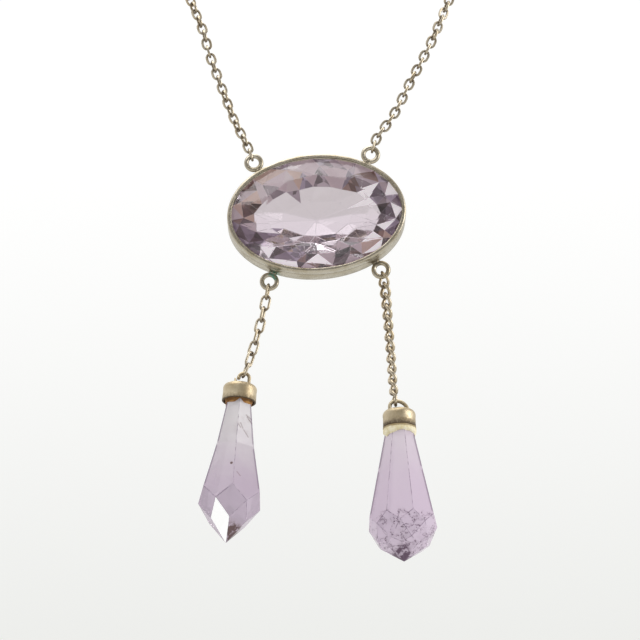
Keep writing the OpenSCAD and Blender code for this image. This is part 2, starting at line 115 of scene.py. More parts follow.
look = np.array([0.0, math.cos(CAMERA_TILT), math.sin(CAMERA_TILT)])
picture_up = np.array([0.0, -math.sin(CAMERA_TILT), math.cos(CAMERA_TILT)])
picture_right = np.array([1.0, 0.0, 0.0])
right_shift = (PICTURE_SIZE / 2 - COLLET_PIXEL[0]) / PIXELS_PER_MM * MM
down_shift = (PICTURE_SIZE / 2 - COLLET_PIXEL[1]) / PIXELS_PER_MM * MM
aim = COLLET_FRONT + right_shift * picture_right - down_shift * picture_up

camera_data = bpy.data.cameras.new("camera")
camera_data.sensor_width = SENSOR_MM
camera_data.lens = SENSOR_MM * PIXELS_PER_MM / MM * CAMERA_DISTANCE / PICTURE_SIZE
camera_data.clip_start = 0.01
camera_data.clip_end = 20
camera = bpy.data.objects.new("camera", camera_data)
camera.location = aim - CAMERA_DISTANCE * look
camera.rotation_euler = (math.pi / 2 + CAMERA_TILT, 0, 0)
scene = bpy.context.scene
scene.collection.objects.link(camera)
scene.camera = camera
print("lens", round(camera_data.lens, 1), "mm")

# %% [markdown]
# ## Grids of points
# A wire, a collar or a cap is a grid: one direction runs along the piece and the other goes
# round its section. A grid of points worked out at once with arrays becomes a mesh by
# joining each point to its neighbours. The same few helpers serve every piece.

# %% Faces of a grid


def unit(v):
    """Vectors scaled to length 1 along the last axis."""
    return v / np.linalg.norm(v, axis=-1, keepdims=True)


def round_steps(count):
    """Angles of a full turn in even steps from 0."""
    return np.linspace(0, 2 * np.pi, count, endpoint=False)


def grid_faces(rows, columns, closed_rows, closed_columns=True):
    """Quads between neighbours of a rows x columns grid, wrapped round where it is closed."""
    i, j = np.meshgrid(
        np.arange(rows if closed_rows else rows - 1),
        np.arange(columns if closed_columns else columns - 1),
        indexing="ij",
    )
    i2, j2 = (i + 1) % rows, (j + 1) % columns
    quads = [i * columns + j, i2 * columns + j, i2 * columns + j2, i * columns + j2]
    return np.stack(quads, -1).reshape(-1, 4)


def enclosed_volume(points, faces):
    """Signed volume inside a closed mesh: the sum of its faces' pyramids to the middle."""
    total = 0.0
    middle = points.mean(0)
    for size in sorted({len(f) for f in faces}):
        f = np.array([face for face in faces if len(face) == size])
        p = points[f] - middle
        for k in range(1, size - 1):
            total += np.einsum("ij,ij->i", p[:, 0], np.cross(p[:, k], p[:, k + 1])).sum() / 6
    return total


# %% Closed shells


def closed_shell(grid, closed_rows=True):
    """A grid whose columns wrap round, as (points, faces), its open ends closed by a face."""
    rows, columns = grid.shape[:2]
    points = grid.reshape(-1, 3)
    faces = grid_faces(rows, columns, closed_rows).tolist()
    if not closed_rows:
        faces.append(list(range(columns)))
        faces.append(list(range((rows - 1) * columns, rows * columns))[::-1])
    if enclosed_volume(points, faces) < 0:
        faces = [face[::-1] for face in faces]
    return points, faces


# Radius of the small face at each end of a turned shape
POLE = 0.02


def revolved_shell(profile, columns, wobble=None):
    """A profile of [radius, height] rows turned round the height axis. Its first and last
    rows lie a pole's radius off the axis, where a small face closes each end.
    wobble(angle, height) gives a factor on the radius."""
    angle = round_steps(columns)
    radius, height = profile[:, 0][:, None], profile[:, 1][:, None]
    if wobble is not None:
        radius = radius * wobble(angle[None, :], height)
    grid = np.stack(
        [radius * np.cos(angle), height + 0 * angle, radius * np.sin(angle)], -1)
    return closed_shell(grid, closed_rows=False)


def joined(shells):
    """Several (points, faces) as one."""
    points, faces, count = [], [], 0
    for p, f in shells:
        points.append(p)
        faces += [[index + count for index in face] for face in f]
        count += len(p)
    return np.concatenate(points), faces


# %% A shell becomes a piece


def store(mesh, label, kind, domain, numbers):
    """Keeps numbers on a mesh under a label, one for each point, face or face corner."""
    layer = mesh.attributes.new(label, kind, domain)
    key = "color" if kind == "FLOAT_COLOR" else "value"
    layer.data.foreach_set(key, np.asarray(numbers, np.float32).ravel())


def make_piece(name, shells, body, stands_for, smooth_below=45, sheltered=None):
    """A mesh object from front-view shells: it rides on a body and stands for CAD nodes.
    Edges sharper than smooth_below degrees stay crisp. The last argument has a number for
    each point, from 0 to 1, for grime and stains, and for painted shade under the collet's lip
    and where links meet."""
    points, faces = joined(shells)
    mesh = bpy.data.meshes.new(name)
    mesh.from_pydata(to_row(points).tolist(), [], faces)
    mesh.polygons.foreach_set("use_smooth", np.ones(len(mesh.polygons), bool))
    mesh.set_sharp_from_angle(angle=math.radians(smooth_below))
    if sheltered is not None:
        store(mesh, "sheltered", "FLOAT", "POINT", sheltered)
    mesh.update()
    piece = bpy.data.objects.new(name, mesh)
    scene.collection.objects.link(piece)
    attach(piece, body)
    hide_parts(*stands_for)
    print(name, len(mesh.vertices), "points", len(mesh.polygons), "faces")
    return piece


# %% [markdown]
# ## Wires
# Every ring, link, bail and hook is round wire along a curve. The curve gives a forward
# direction at each point. One fixed vector that the curve never follows gives the other two
# directions, which keeps the wire from twisting. A closed curve wraps round, and an open one
# is closed by its end faces.

# %% Round wire along a curve


def tube(curve, radius, across, over, sides):
    """A circle round each point of a curve, in the plane of its across and over directions:
    the point, plus radius times (cosine times across plus sine times over)."""
    angle = round_steps(sides)[:, None]
    return curve[..., None, :] + radius * (
        np.cos(angle) * across[..., None, :] + np.sin(angle) * over[..., None, :])


def wire(curve, radius, aside, sides, closed=False):
    """Wire of a radius, one number or one for each point, along a curve. At each point the
    section is a circle across the curve, started from the direction square to aside."""
    curve = np.asarray(curve, float)
    if closed:
        ahead = unit(np.roll(curve, -1, 0) - np.roll(curve, 1, 0))
    else:
        ahead = unit(np.gradient(curve, axis=0))
    radius = np.broadcast_to(np.asarray(radius, float), len(curve))
    across = unit(np.cross(ahead, aside))
    over = np.cross(ahead, across)
    grid = tube(curve, radius[:, None, None], across, over, sides)
    return closed_shell(grid, closed_rows=closed)


def arc(centre, radius, start, end, steps):
    """Points of a circle on the front view, between two angles in degrees."""
    t = np.radians(np.linspace(start, end, steps))
    return np.asarray(centre) + radius * np.stack([np.cos(t), np.sin(t), 0 * t], -1)


def turned(points, degrees):
    """Points turned anticlockwise on the front view."""
    a = math.radians(degrees)
    p = np.asarray(points, float)
    return np.stack([
        p[..., 0] * math.cos(a) - p[..., 1] * math.sin(a),
        p[..., 0] * math.sin(a) + p[..., 1] * math.cos(a),
        p[..., 2]], -1)


FRONT = np.array([0.0, 0.0, 1.0])

# %% [markdown]
# ## The collet and its rings
# A collet is a strip of metal bent to the stone's outline and soldered shut. Its front edge
# is rubbed over the stone with a burnisher, which leaves it a little uneven. A section drawn
# once and carried round the oval gives the lip, the rim band with its groove, and the plain
# wall. A boolean of solids could do the same, but the sweep keeps the lip's edge clean and
# lets it waver as a hand-rubbed one does.

# %% Sizes that the collet shares with the stone
STONE_LENGTH, STONE_WIDTH = 24.5, 16.9
STONE_FIT = 0.08
WALL = 0.42
DEPTH = 3.5
LIP_OVER = 0.14
GIRDLE_DROP, GIRDLE = 0.55, 0.35
BAND_PROUD, BAND_HEIGHT, GROOVE = 0.06, 1.2, 0.1
PENDANT_TURN = 4.3
RING_DIAMETER, RING_WIRE, RING_RADIUS = 2.75, 0.68, 1.05
RING_OFF = STONE_FIT + WALL + BAND_PROUD + RING_DIAMETER / 2
UPPER_RING_Z, LOWER_RING_Z = -0.45, -(DEPTH - RING_WIRE / 2 - 0.08)
# Direction of each ring from the stone's middle, in degrees, and its depth
RINGS = {
    "upper_left": (118, UPPER_RING_Z), "upper_right": (62, UPPER_RING_Z),
    "lower_left": (-114, LOWER_RING_Z), "lower_right": (-61, LOWER_RING_Z)}


def oval_point(a, off):
    """Point off the stone's girdle, where a is the ellipse's own angle in radians and off is
    measured along the outward normal."""
    normal = unit(np.stack([STONE_WIDTH * np.cos(a), STONE_LENGTH * np.sin(a)], -1))
    edge = np.stack([STONE_LENGTH / 2 * np.cos(a), STONE_WIDTH / 2 * np.sin(a)], -1)
    return edge + off[..., None] * normal


def beside_wall(direction, off, z):
    """The point off the girdle in a direction in degrees, before the pendant is turned. The
    ellipse's normal points that way there, which gives the ellipse's own angle."""
    d = math.radians(direction)
    a = np.array(math.atan2(STONE_WIDTH * math.sin(d), STONE_LENGTH * math.cos(d)))
    return np.array([*oval_point(a, np.array(off)), z])


def ring_middle(name):
    """Middle of a soldered ring on the front view."""
    direction, z = RINGS[name]
    return turned(beside_wall(direction, RING_OFF, z), PENDANT_TURN)


for name in RINGS:
    print(name, "ring at", np.round(ring_middle(name), 2))

# %% The collet's section


def rounded_section(corners, radius):
    """A closed outline whose corners become short curves. Each curve starts and ends a
    radius from its corner, or nearly halfway along a shorter side."""
    p = np.asarray(corners, float)
    before, after = np.roll(p, 1, 0) - p, np.roll(p, -1, 0) - p

    def towards(v):
        """A radius along a side, or nearly half of a short one."""
        length = np.linalg.norm(v, axis=1, keepdims=True)
        return v * np.minimum(radius / length, 0.45)

    t = np.array([0, 0.5, 1])[None, :, None]
    a, b, c = (p + towards(before))[:, None], p[:, None], (p + towards(after))[:, None]
    return ((1 - t) ** 2 * a + 2 * t * (1 - t) * b + t ** 2 * c).reshape(-1, 2)


wall_in, wall_out, lip_in = STONE_FIT, STONE_FIT + WALL, STONE_FIT - LIP_OVER
seat = -(GIRDLE_DROP + GIRDLE + 2 * STONE_FIT)
COLLET_SECTION = rounded_section([
    [wall_out, -DEPTH], [wall_out, -BAND_HEIGHT - 2.5 * GROOVE],
    [wall_out - GROOVE, -BAND_HEIGHT - 2 * GROOVE], [wall_out - GROOVE, -BAND_HEIGHT - GROOVE],
    [wall_out + BAND_PROUD, -BAND_HEIGHT], [wall_out + BAND_PROUD, -3 * GROOVE],
    [wall_out, -GROOVE], [wall_out - 1.6 * GROOVE, 0],
    [lip_in + 1.4 * GROOVE, 0.02], [lip_in + 0.3 * GROOVE, -GROOVE / 2], [lip_in, -0.12],
    [lip_in + 0.4 * GROOVE, -0.22], [wall_in, -GIRDLE_DROP + GROOVE], [wall_in, seat],
    [wall_in - 0.2, seat - 0.26], [wall_in - 0.2, -DEPTH + GROOVE], [wall_in - 0.1, -DEPTH],
], 0.06)

print("corners of the collet's section:", len(COLLET_SECTION))

# %% The collet
COLLET_STEPS = 220


def collet_shell():
    """The section carried round the oval. Near the lip its distance off the girdle wavers,
    as the sum of three slow waves, and fades to nothing down the wall."""
    a = round_steps(COLLET_STEPS)[:, None]
    off, z = COLLET_SECTION[None, :, 0], COLLET_SECTION[None, :, 1]
    waver = 0.022 * np.sin(5 * a + 0.7) + 0.016 * np.sin(11 * a + 2.0) + 0.010 * np.sin(23 * a)
    near_lip = np.clip(1 + z / 0.5, 0, 1) * np.clip((wall_out - off) / (WALL + LIP_OVER), 0, 1)
    flat = oval_point(a + 0 * off, off + waver * near_lip)
    height = z + 0.6 * waver * np.clip(1 + z / 0.4, 0, 1)
    grid = np.concatenate([flat, (height + 0 * a)[..., None]], -1)
    return closed_shell(turned(grid, PENDANT_TURN))


collet = collet_shell()
print("points of the collet:", len(collet[0]))

# %% Rings and their solder
CUT_RING, CUT_AT = "upper_right", 150
SOLDER_LONG, SOLDER_OUT, SOLDER_DEEP = 0.62, 0.40, 0.42


def ring_shell(name):
    """A wire ring. The cut one is an open curve whose two ends nearly meet."""
    middle = ring_middle(name)
    if name == CUT_RING:
        curve = arc(middle, RING_RADIUS, CUT_AT + 1.5, CUT_AT + 358.5, 65)
    else:
        curve = arc(middle, RING_RADIUS, 0, 360, 65)[:-1]
    return wire(curve, RING_WIRE / 2, FRONT, 20, closed=name != CUT_RING)


def solder_shell(name):
    """A fillet of solder: a ball that spreads along the wall and is a little lumpy."""
    direction, z = RINGS[name]
    polar = np.linspace(0.04, np.pi - 0.04, 14)[:, None]
    around = round_steps(24)
    uneven = 1 + 0.06 * np.sin(3 * around + 2 * polar) + 0.04 * np.sin(5 * around - polar)
    ball = np.stack([
        SOLDER_LONG * uneven * np.sin(polar) * np.cos(around),
        SOLDER_OUT * uneven * np.sin(polar) * np.sin(around),
        SOLDER_DEEP * uneven * np.cos(polar) + 0 * around], -1)
    # The ball's long side lies along the wall, square to the ring's direction.
    ball = turned(ball, direction - 90) + beside_wall(direction, STONE_FIT + WALL + 0.06, z)
    return closed_shell(turned(ball, PENDANT_TURN), closed_rows=False)


# %% Where tarnish stays on the setting, and painted shade under the lip


def bell(distance, width):
    """1 at no distance, with a smooth fall to nothing over about two widths."""
    return np.exp(-(distance / width) ** 2)


def collet_hollows(points):
    """How dark each point of the setting is made, from 0 to 1: patina in the groove and close
    to the solder, darker towards the back, and painted shade in the gap under the lip."""
    z = points[:, 2]
    groove = bell(z + BAND_HEIGHT + 1.5 * GROOVE, 0.12)
    inside = np.clip((-z - 2.2) / 1.3, 0, 1) * 0.35
    off, height = COLLET_SECTION.T
    # Painted shade: a dark line along the inner edge of the lip, where the gap under it lies.
    painted_shade_under_lip = bell(off - lip_in, 0.07) * (height < -0.03)
    inside[:COLLET_STEPS * len(off)] += 1.6 * np.tile(painted_shade_under_lip, COLLET_STEPS)
    near_joint = np.zeros(len(points))
    for direction, ring_z in RINGS.values():
        joint = turned(beside_wall(direction, STONE_FIT + WALL + 0.2, ring_z), PENDANT_TURN)
        near_joint += bell(np.linalg.norm(points - joint, axis=1), 0.55)
    return np.clip(groove + inside + near_joint, 0, 1)


# %% The setting as one piece
setting_shells = [collet]
for name in RINGS:
    setting_shells += [ring_shell(name), solder_shell(name)]
hollows = collet_hollows(joined(setting_shells)[0])
setting = make_piece(
    "setting", setting_shells, "pendant", ["centre_collet"],
    sheltered=hollows)
print("mean shelter:", round(float(hollows.mean()), 2))

# %% [markdown]
# ## Links with straight sides
# The neck chain and the left drop's chain have plain links: two half circles joined by
# straight sides. A real link is wound, cut and soldered. One outline serves them all, and
# arrays lay the wire round every link at once. Where one link sits in the next the metal is
# darker, with dirt and painted shade, so each point also carries how near it is to the link's
# ends.

# %% Plain link outline


def plain_outline(length, width, thickness, arc_steps):
    """Middle line of a link in its own plane, as [across, along] rows: a half circle at each
    end, and the straight sides between them."""
    radius = (width - thickness) / 2
    t = np.linspace(0, np.pi, arc_steps)
    top = np.stack([radius * np.cos(t), (length - width) / 2 + radius * np.sin(t)], -1)
    return np.concatenate([top, -top])


# Ends of links are darker: dirt, and painted shade where one link sits in the next.
def end_dirt_and_shade(share):
    """0 along the middle of a link and 1 at its ends, for a share of the way to an end."""
    return np.clip((share - 0.55) / 0.45, 0, 1)


def plain_links(length, width, thickness, arc_steps, sides, centres, along, across):
    """Many links as closed shells, and how near each point is to its link's ends. A link's
    outline lies in the plane of its along and across directions, and its wire's section is
    a circle. All the links are worked out at once, as links x points x sides."""
    outline = plain_outline(length, width, thickness, arc_steps)
    curve = (centres[:, None] + outline[None, :, 1, None] * along[:, None]
             + outline[None, :, 0, None] * across[:, None])
    ahead = unit(np.roll(curve, -1, 1) - np.roll(curve, 1, 1))
    flat = np.cross(along, across)[:, None] + 0 * ahead
    outward = np.cross(ahead, flat)
    grids = tube(curve, thickness / 2, outward, flat, sides)
    share = np.abs(outline[:, 1]) / np.abs(outline[:, 1]).max()
    darker_ends = np.tile(np.repeat(end_dirt_and_shade(share), sides), len(centres))
    return [closed_shell(grid) for grid in grids], darker_ends


# %% [markdown]
# ## The neck chain
# The neck chain is a fine trace chain: each link stands nearly square to the next. Hung
# freely, the links also wander a little, so now and then one shows itself at a slant. The
# route is the one that the frame's tubes follow, a smooth curve through a few points, and
# the links are set out along it by their true pitch. A particle system could place them too,
# but arrays keep the count, the pitch and the last link in hand.

# %% The neck chain's route
NECK_LINK_LENGTH, NECK_LINK_WIDTH = 2.02, 1.50
NECK_LEAN, NECK_PITCH = 20, 1.22
# Straight run at each end of the route, and how far each eye sinks into the clasp
END_RUN, EYE_SINK = 1.6, 0.1
CLASP_LENGTH = 9.0
LEFT_ROUTE = [
    [-11.9, -54.6, -114.5], [-13.9, -54.5, -108.9], [-15.5, -54.4, -104.2],
    [-17.4, -54.2, -98]]
RIGHT_ROUTE = [
    [11.2, -54.6, -113.6], [13.4, -54.5, -108.9], [16.2, -54.4, -103.2],
    [18.3, -54.2, -98]]
NECK_ROUTE = [
    [27, -50, -74], [37, -41, -50], [46, -27, -30], [52, -9, -17], [53, 10, -9],
    [44, 27, -4], [26, 39, -1], [18, 41.2, -0.5], [12.5, 42.7, -0.2]]
NAPE = np.array([0, 43.5, 0])


def smooth_curve(points, steps):
    """Catmull-Rom curve through points: between two points it is a cubic whose slope at each
    is half the way from the point before to the point after."""
    p = np.asarray(points, float)
    p = np.concatenate([[2 * p[0] - p[1]], p, [2 * p[-1] - p[-2]]])
    a, b, c, d = p[:-3, None], p[1:-2, None], p[2:-1, None], p[3:, None]
    t = np.linspace(0, 1, steps, endpoint=False)[None, :, None]
    curve = (2 * b + (c - a) * t + (2 * a - 5 * b + 4 * c - d) * t ** 2
             + (3 * b - a - 3 * c + d) * t ** 3) / 2
    return np.concatenate([curve.reshape(-1, 3), p[-2:-1]])


print("points of the hidden route:", len(NECK_ROUTE))

# %% The links' places along the route
ROUTE_STEPS = 24


def walked(curve):
    """The length of a curve up to each of its points."""
    steps = np.linalg.norm(np.diff(curve, axis=0), axis=1)
    return np.concatenate([[0], np.cumsum(steps)])


def neck_side(side):
    """Centres and directions of all the links on one side (-1 left, 1 right), from the link
    in the upper ring to the link in the clasp's eye, in the frame's axes and millimetres."""
    lean = math.radians(NECK_LEAN)
    up = np.array([side * math.sin(lean), math.cos(lean), 0])
    half_straight = (NECK_LINK_LENGTH - NECK_LINK_WIDTH) / 2
    ring = ring_middle("upper_left" if side < 0 else "upper_right")
    first = ring + (RING_RADIUS + half_straight) * up
    eye = CLASP_LENGTH / 2 + 2 * RING_RADIUS - EYE_SINK
    last = NAPE + [side * (eye + half_straight), 0, 0]
    curve = smooth_curve([
        to_row(first) / MM, to_row(first + END_RUN * up) / MM,
        *(LEFT_ROUTE if side < 0 else RIGHT_ROUTE), *(np.array(NECK_ROUTE) * [side, 1, 1]),
        last + [side * END_RUN, 0, 0], last], ROUTE_STEPS)
    length = walked(curve)[-1]
    lengths = np.linspace(0, length, round(length / NECK_PITCH) + 1)
    centres = np.stack([np.interp(lengths, walked(curve), curve[:, k]) for k in range(3)], -1)
    return centres, unit(np.gradient(centres, axis=0))


print("links on each side:", len(neck_side(-1)[0]), len(neck_side(1)[0]))

# %% How the links turn along the neck


def neck_rolls(side, ahead):
    """Across directions of the links. Each link is turned 90 degrees from the last, plus a
    slow wander that is nothing at both ends. A steady twist along the chain makes its last
    link lie flat in the clasp's eye."""
    reference = unit(np.cross(ahead, np.array([0, -0.8, 0.6])))
    other = np.cross(ahead, reference)
    # Both end links turn their broad way as near to the frame's Y as they can.
    begin, end = (math.atan2(other[k][1], reference[k][1]) for k in (0, -1))
    quarter, count = np.pi / 2, len(ahead) - 1
    twist = (end - begin - quarter * count + quarter) % np.pi - quarter
    k = np.arange(count + 1)
    fade = np.sin(np.pi * k / count) ** 0.35
    wander = np.radians(
        30 + 14 * np.sin(0.43 * k + side) + 11 * np.sin(0.19 * k + 2) + 7 * np.sin(1.7 * k))
    roll = begin + quarter * k + twist * k / count + fade * wander
    return np.cos(roll)[:, None] * reference + np.sin(roll)[:, None] * other


# %% Links along both sides of the neck
# Length, width and wire of a link, then the steps round each of its ends and round its wire
NECK_LINK = (NECK_LINK_LENGTH, NECK_LINK_WIDTH, 0.38, 7, 6)
END_LINK = (NECK_LINK_LENGTH, 1.58, 0.33, 15, 12)


def neck_piece(name, node, side, chosen, shape):
    """The links of one side that chosen picks, as one piece."""
    centres, ahead = neck_side(side)
    across = neck_rolls(side, ahead)
    shells, darker_ends = plain_links(
        *shape, to_front(centres[chosen] * MM), front_direction(ahead[chosen]),
        front_direction(across[chosen]))
    return make_piece(name, shells, "neck_chain", [node], 60, darker_ends)


chain_pieces = []
for side, label in ((-1, "left"), (1, "right")):
    for name, node, chosen, shape in (
            ("neck_links", "neck_chain", slice(1, -1), NECK_LINK),
            ("end_link", "neck_end_link", slice(0, 1), END_LINK),
            ("eye_link", "clasp_link", slice(-1, None), END_LINK)):
        chain_pieces.append(
            neck_piece(f"{name}_{label}", f"{node}_{label}", side, chosen, shape))

# %% [markdown]
# ## The clasp
# The clasp is hidden at the nape. It is finished plainly, as a barrel with rounded ends, two
# turned lines where it unscrews, and a wire eye at each end. A turned profile is all that
# it needs.

# %% Clasp
CLASP_DIAMETER = 3.0


def clasp_shells():
    """Barrel turned about X, with its profile drawn as [radius, along], and two wire eyes."""
    half, r = CLASP_LENGTH / 2, CLASP_DIAMETER / 2
    right_half = [[r - 0.07, 0.0], [r - 0.07, 0.12], [r, 0.2], [r, 0.9], [r - 0.06, 1.0],
                  [r, 1.1], [r, half - 0.45], [r - 0.13, half - 0.13], [r - 0.45, half],
                  [POLE, half]]
    left_half = [[radius, -x] for radius, x in right_half[:0:-1]]
    barrel, faces = revolved_shell(np.array(left_half + right_half), 40)
    # The turned profile runs up the page, and the barrel lies along X.
    barrel = barrel[:, [1, 0, 2]] * [1, 1, -1]
    nape = to_front(NAPE * MM)
    shells = [(barrel + nape, faces)]
    for side in (-1, 1):
        eye = nape + [side * (half + RING_RADIUS - EYE_SINK), 0, 0]
        curve = arc(eye, RING_RADIUS, 0, 360, 49)[:-1]
        shells.append(wire(curve, RING_WIRE / 2, FRONT, 14, closed=True))
    return shells


clasp = make_piece("clasp_barrel", clasp_shells(), "neck_chain", ["clasp"], 35)

# %% [markdown]
# ## The drop chains
# The left drop hangs from eight long links and the right one from a dozen curb links. A curb
# link is an oval of wire whose ends are twisted apart, so that the chain lies flat. Each link
# is a piece of its own, placed by the middle of its own node. A box says nothing of how a
# link is turned, so tables give the lean and the roll down each chain. They are the solids'
# own, except that the curb links roll more evenly, as they do in the picture.

# %% How the links of the drop chains are turned
TRACE_COUNT, CURB_COUNT = 8, 12
TRACE_LENGTH, TRACE_WIDTH, TRACE_WIRE, LAST_WIRE = 2.53, 1.54, 0.37, 0.33
CURB_LENGTH, CURB_WIDTH, CURB_WIRE, CURB_TWIST = 2.74, 1.88, 0.50, 52
END_CURB_WIRE = 0.42
TRACE_LEAN = [[0, -10], [0.5, -14], [1, -20]]
TRACE_ROLL = [[0, 8], [0.72, 20], [0.86, 38], [1, 68]]
CURB_LEAN = [[0, 10], [0.2, 4.5], [0.7, 4], [1, 8]]
CURB_ROLL = [[0, 46], [0.1, 46], [0.25, 58], [0.5, 65], [0.8, 68], [1, 76]]


def looked_up(table, share):
    """Value of a table of [share, value] rows between its rows."""
    rows = np.array(table)
    return float(np.interp(share, rows[:, 0], rows[:, 1]))


def hung_axes(lean, roll):
    """Along and across directions of a link that leans on the front view and is rolled about
    its own length."""
    across = np.array([math.cos(math.radians(roll)), 0, math.sin(math.radians(roll))])
    return turned([0, 1, 0], lean), turned(across, lean)


print("curb links roll from", CURB_ROLL[0][1], "to", CURB_ROLL[-1][1], "degrees")

# %% Long links


def trace_link(i):
    """One long link. Every other one is turned a quarter turn more, and the last one is
    thinner, because the hook swings in it."""
    share = i / (TRACE_COUNT - 1)
    roll = looked_up(TRACE_ROLL, share) + (90 if i % 2 == 0 else 0)
    along, across = hung_axes(looked_up(TRACE_LEAN, share), roll)
    node = f"trace_link_{i + 1}"
    thickness = LAST_WIRE if i == TRACE_COUNT - 1 else TRACE_WIRE
    shells, darker_ends = plain_links(
        TRACE_LENGTH, TRACE_WIDTH, thickness, 15, 14, middle_of(node)[None], along[None],
        across[None])
    return make_piece(
        f"long_link_{i + 1}", shells, "pendant", [node], 60, darker_ends)


chain_pieces += [trace_link(i) for i in range(TRACE_COUNT)]

# %% Curb links
CURB_STEPS, CURB_SIDES = 44, 12


def curb_link(i):
    """One curb link. Its middle line goes up and down as a cosine and sideways as a sine, and
    the sideways direction turns with the height, by the twist one way at the top and the
    other way at the bottom. The first and last links are thinner, to leave room for a ring
    and a bail, and the last one's lower end stands square to the bail."""
    share = i / (CURB_COUNT - 1)
    lean, roll = looked_up(CURB_LEAN, share), looked_up(CURB_ROLL, share)
    t = round_steps(CURB_STEPS)
    last = i == CURB_COUNT - 1
    thickness = END_CURB_WIRE if i == 0 or last else CURB_WIRE
    twist = np.where(last & (np.cos(t) < 0), -10, CURB_TWIST)
    lateral = (CURB_WIDTH - thickness) / 2 * np.sin(t)
    a = np.radians(roll + twist * np.cos(t))
    height = (CURB_LENGTH - thickness) / 2 * np.cos(t)
    curve = turned(np.stack([lateral * np.cos(a), height, lateral * np.sin(a)], -1), lean)
    aside = np.array([math.sin(math.radians(roll)), 0.02, -math.cos(math.radians(roll))])
    node = f"curb_link_{i + 1}"
    shell = wire(curve + middle_of(node), thickness / 2, aside, CURB_SIDES, closed=True)
    return make_piece(
        f"twisted_link_{i + 1}", [shell], "pendant", [node], 60,
        np.repeat(end_dirt_and_shade(np.abs(np.cos(t))), CURB_SIDES))


chain_pieces += [curb_link(i) for i in range(CURB_COUNT)]

# %% [markdown]
# ## Caps, bails and cement
# Each drop is held by a domed cap filled with cement. The cap is spun sheet, so a turned
# profile makes it, with a slight wobble of its radius for the dents of a long life. On the
# left the bail broke and was bent again into a hook beside its torn stub. On the right it is
# an uneven arch. Both are wire along a curve.

# %% Where a drop hangs
LEAN = {"left": -4.8, "right": 1.7}
CAP_WIDTH = {"left": 4.84, "right": 4.68}
CAP_HEIGHT = {"left": 2.58, "right": 2.57}
HOOK_RADIUS, HOOK_X, HOOK_Y = 0.75, 0.42, 1.07
ARCH_X, ARCH_TOP = -0.42, 1.5
# Top of each bail, from the middle of the cap's rim
BAIL_TOP = {
    "left": np.array([HOOK_X, CAP_HEIGHT["left"] + HOOK_Y + HOOK_RADIUS, 0]),
    "right": np.array([ARCH_X, CAP_HEIGHT["right"] + ARCH_TOP, 0])}
joints = {joint["name"]: joint for joint in frame["joints"]}


def hung(points, side):
    """Points drawn about the middle of a cap's rim, leaned and hung by the bail's top from
    the joint that the frame gives."""
    pivot = to_front(np.array(joints[f"{side}_drop_swing"]["pos_m"]))
    return turned(points - BAIL_TOP[side], LEAN[side]) + pivot


for side in LEAN:
    print(side, "cap's rim at", np.round(hung(np.zeros(3), side), 2))

# %% Spun caps
CAP_WALL, CAP_ROUND = 0.25, 0.72


def cap_shell(side, seed):
    """Spun cap: straight wall, quarter-round shoulder and flat top, with a rim turned a
    little outwards. The radius wobbles by half a per cent."""
    r, height = CAP_WIDTH[side] / 2, CAP_HEIGHT[side]
    rise = height - CAP_ROUND
    t = np.linspace(0, np.pi / 2, 9)
    outer = np.stack([r - CAP_ROUND + CAP_ROUND * np.cos(t), rise + CAP_ROUND * np.sin(t)], -1)
    inner_round = CAP_ROUND - CAP_WALL / 2
    inner = np.stack([
        r - CAP_WALL - inner_round + inner_round * np.cos(t),
        height - CAP_WALL - inner_round + inner_round * np.sin(t)], -1)[::-1]
    rim = [[r - CAP_WALL, 0.03], [r - CAP_WALL + 0.05, 0], [r - 0.04, 0], [r + 0.01, 0.05],
           [r, 0.16], [r - 0.02, 0.5 * height]]
    profile = np.concatenate([
        [[POLE, height - CAP_WALL]], inner, rim, outer, [[POLE, height + 0.03]]])

    def wobble(angle, height_here):
        """Slow dents, as a factor on the radius."""
        return (1 + 0.005 * np.sin(3 * angle + seed) + 0.003 * np.sin(7 * angle + 2 * seed)
                + 0.004 * np.sin(4 * angle + 3 * height_here + seed))

    return revolved_shell(profile, 96, wobble)


# %% Bails
HOOK_WIRE, ARCH_WIRE = 0.50, 0.54
STUB_X, STUB_HEIGHT = -0.66, 1.1
ARCH_LEFT, ARCH_RIGHT = 0.86, 1.7
# How far the foot of a wire reaches into the top of its cap
SUNK = 0.1


def upright(x, bottom, top, steps):
    """Points of a straight wire that stands on a cap."""
    y = np.linspace(bottom, top, steps)
    return np.stack([x + 0 * y, y, 0 * y], -1)


def left_bail_shells():
    """The hook: up one leg, over the crown and down to a cut end that hangs in the air. The
    torn stub beside it narrows to a point, and the leg's foot spreads where it is soldered."""
    top, half = CAP_HEIGHT["left"], HOOK_WIRE / 2
    leg_x = HOOK_X + HOOK_RADIUS
    leg = upright(leg_x, top - SUNK, top + HOOK_Y - 0.1, 8)
    bend = arc((HOOK_X, top + HOOK_Y, 0), HOOK_RADIUS, 0, 198, 30)
    curve = np.concatenate([leg, bend])
    radius = np.full(len(curve), half)
    radius[:8] *= np.linspace(0.92, 0.98, 8)
    radius[-5:] *= [1.06, 1.10, 1.10, 1.04, 0.80]
    rise = np.linspace(0, 1, 9)
    stub = np.stack([
        STUB_X - 0.22 * rise ** 2, top - SUNK + (STUB_HEIGHT + SUNK) * rise,
        0.05 * np.sin(4 * rise)], -1)
    taper = half * np.array([1.5, 1.2, 1.02, 0.95, 0.88, 0.75, 0.6, 0.42, 0.12])
    foot = upright(leg_x, top - 0.08, top + 0.16, 6)
    flare = half * np.array([1.75, 1.6, 1.4, 1.22, 1.1, 0.98])
    return [wire(curve, radius, FRONT, 18), wire(stub, taper, FRONT, 14),
            wire(foot, flare, FRONT, 18)]


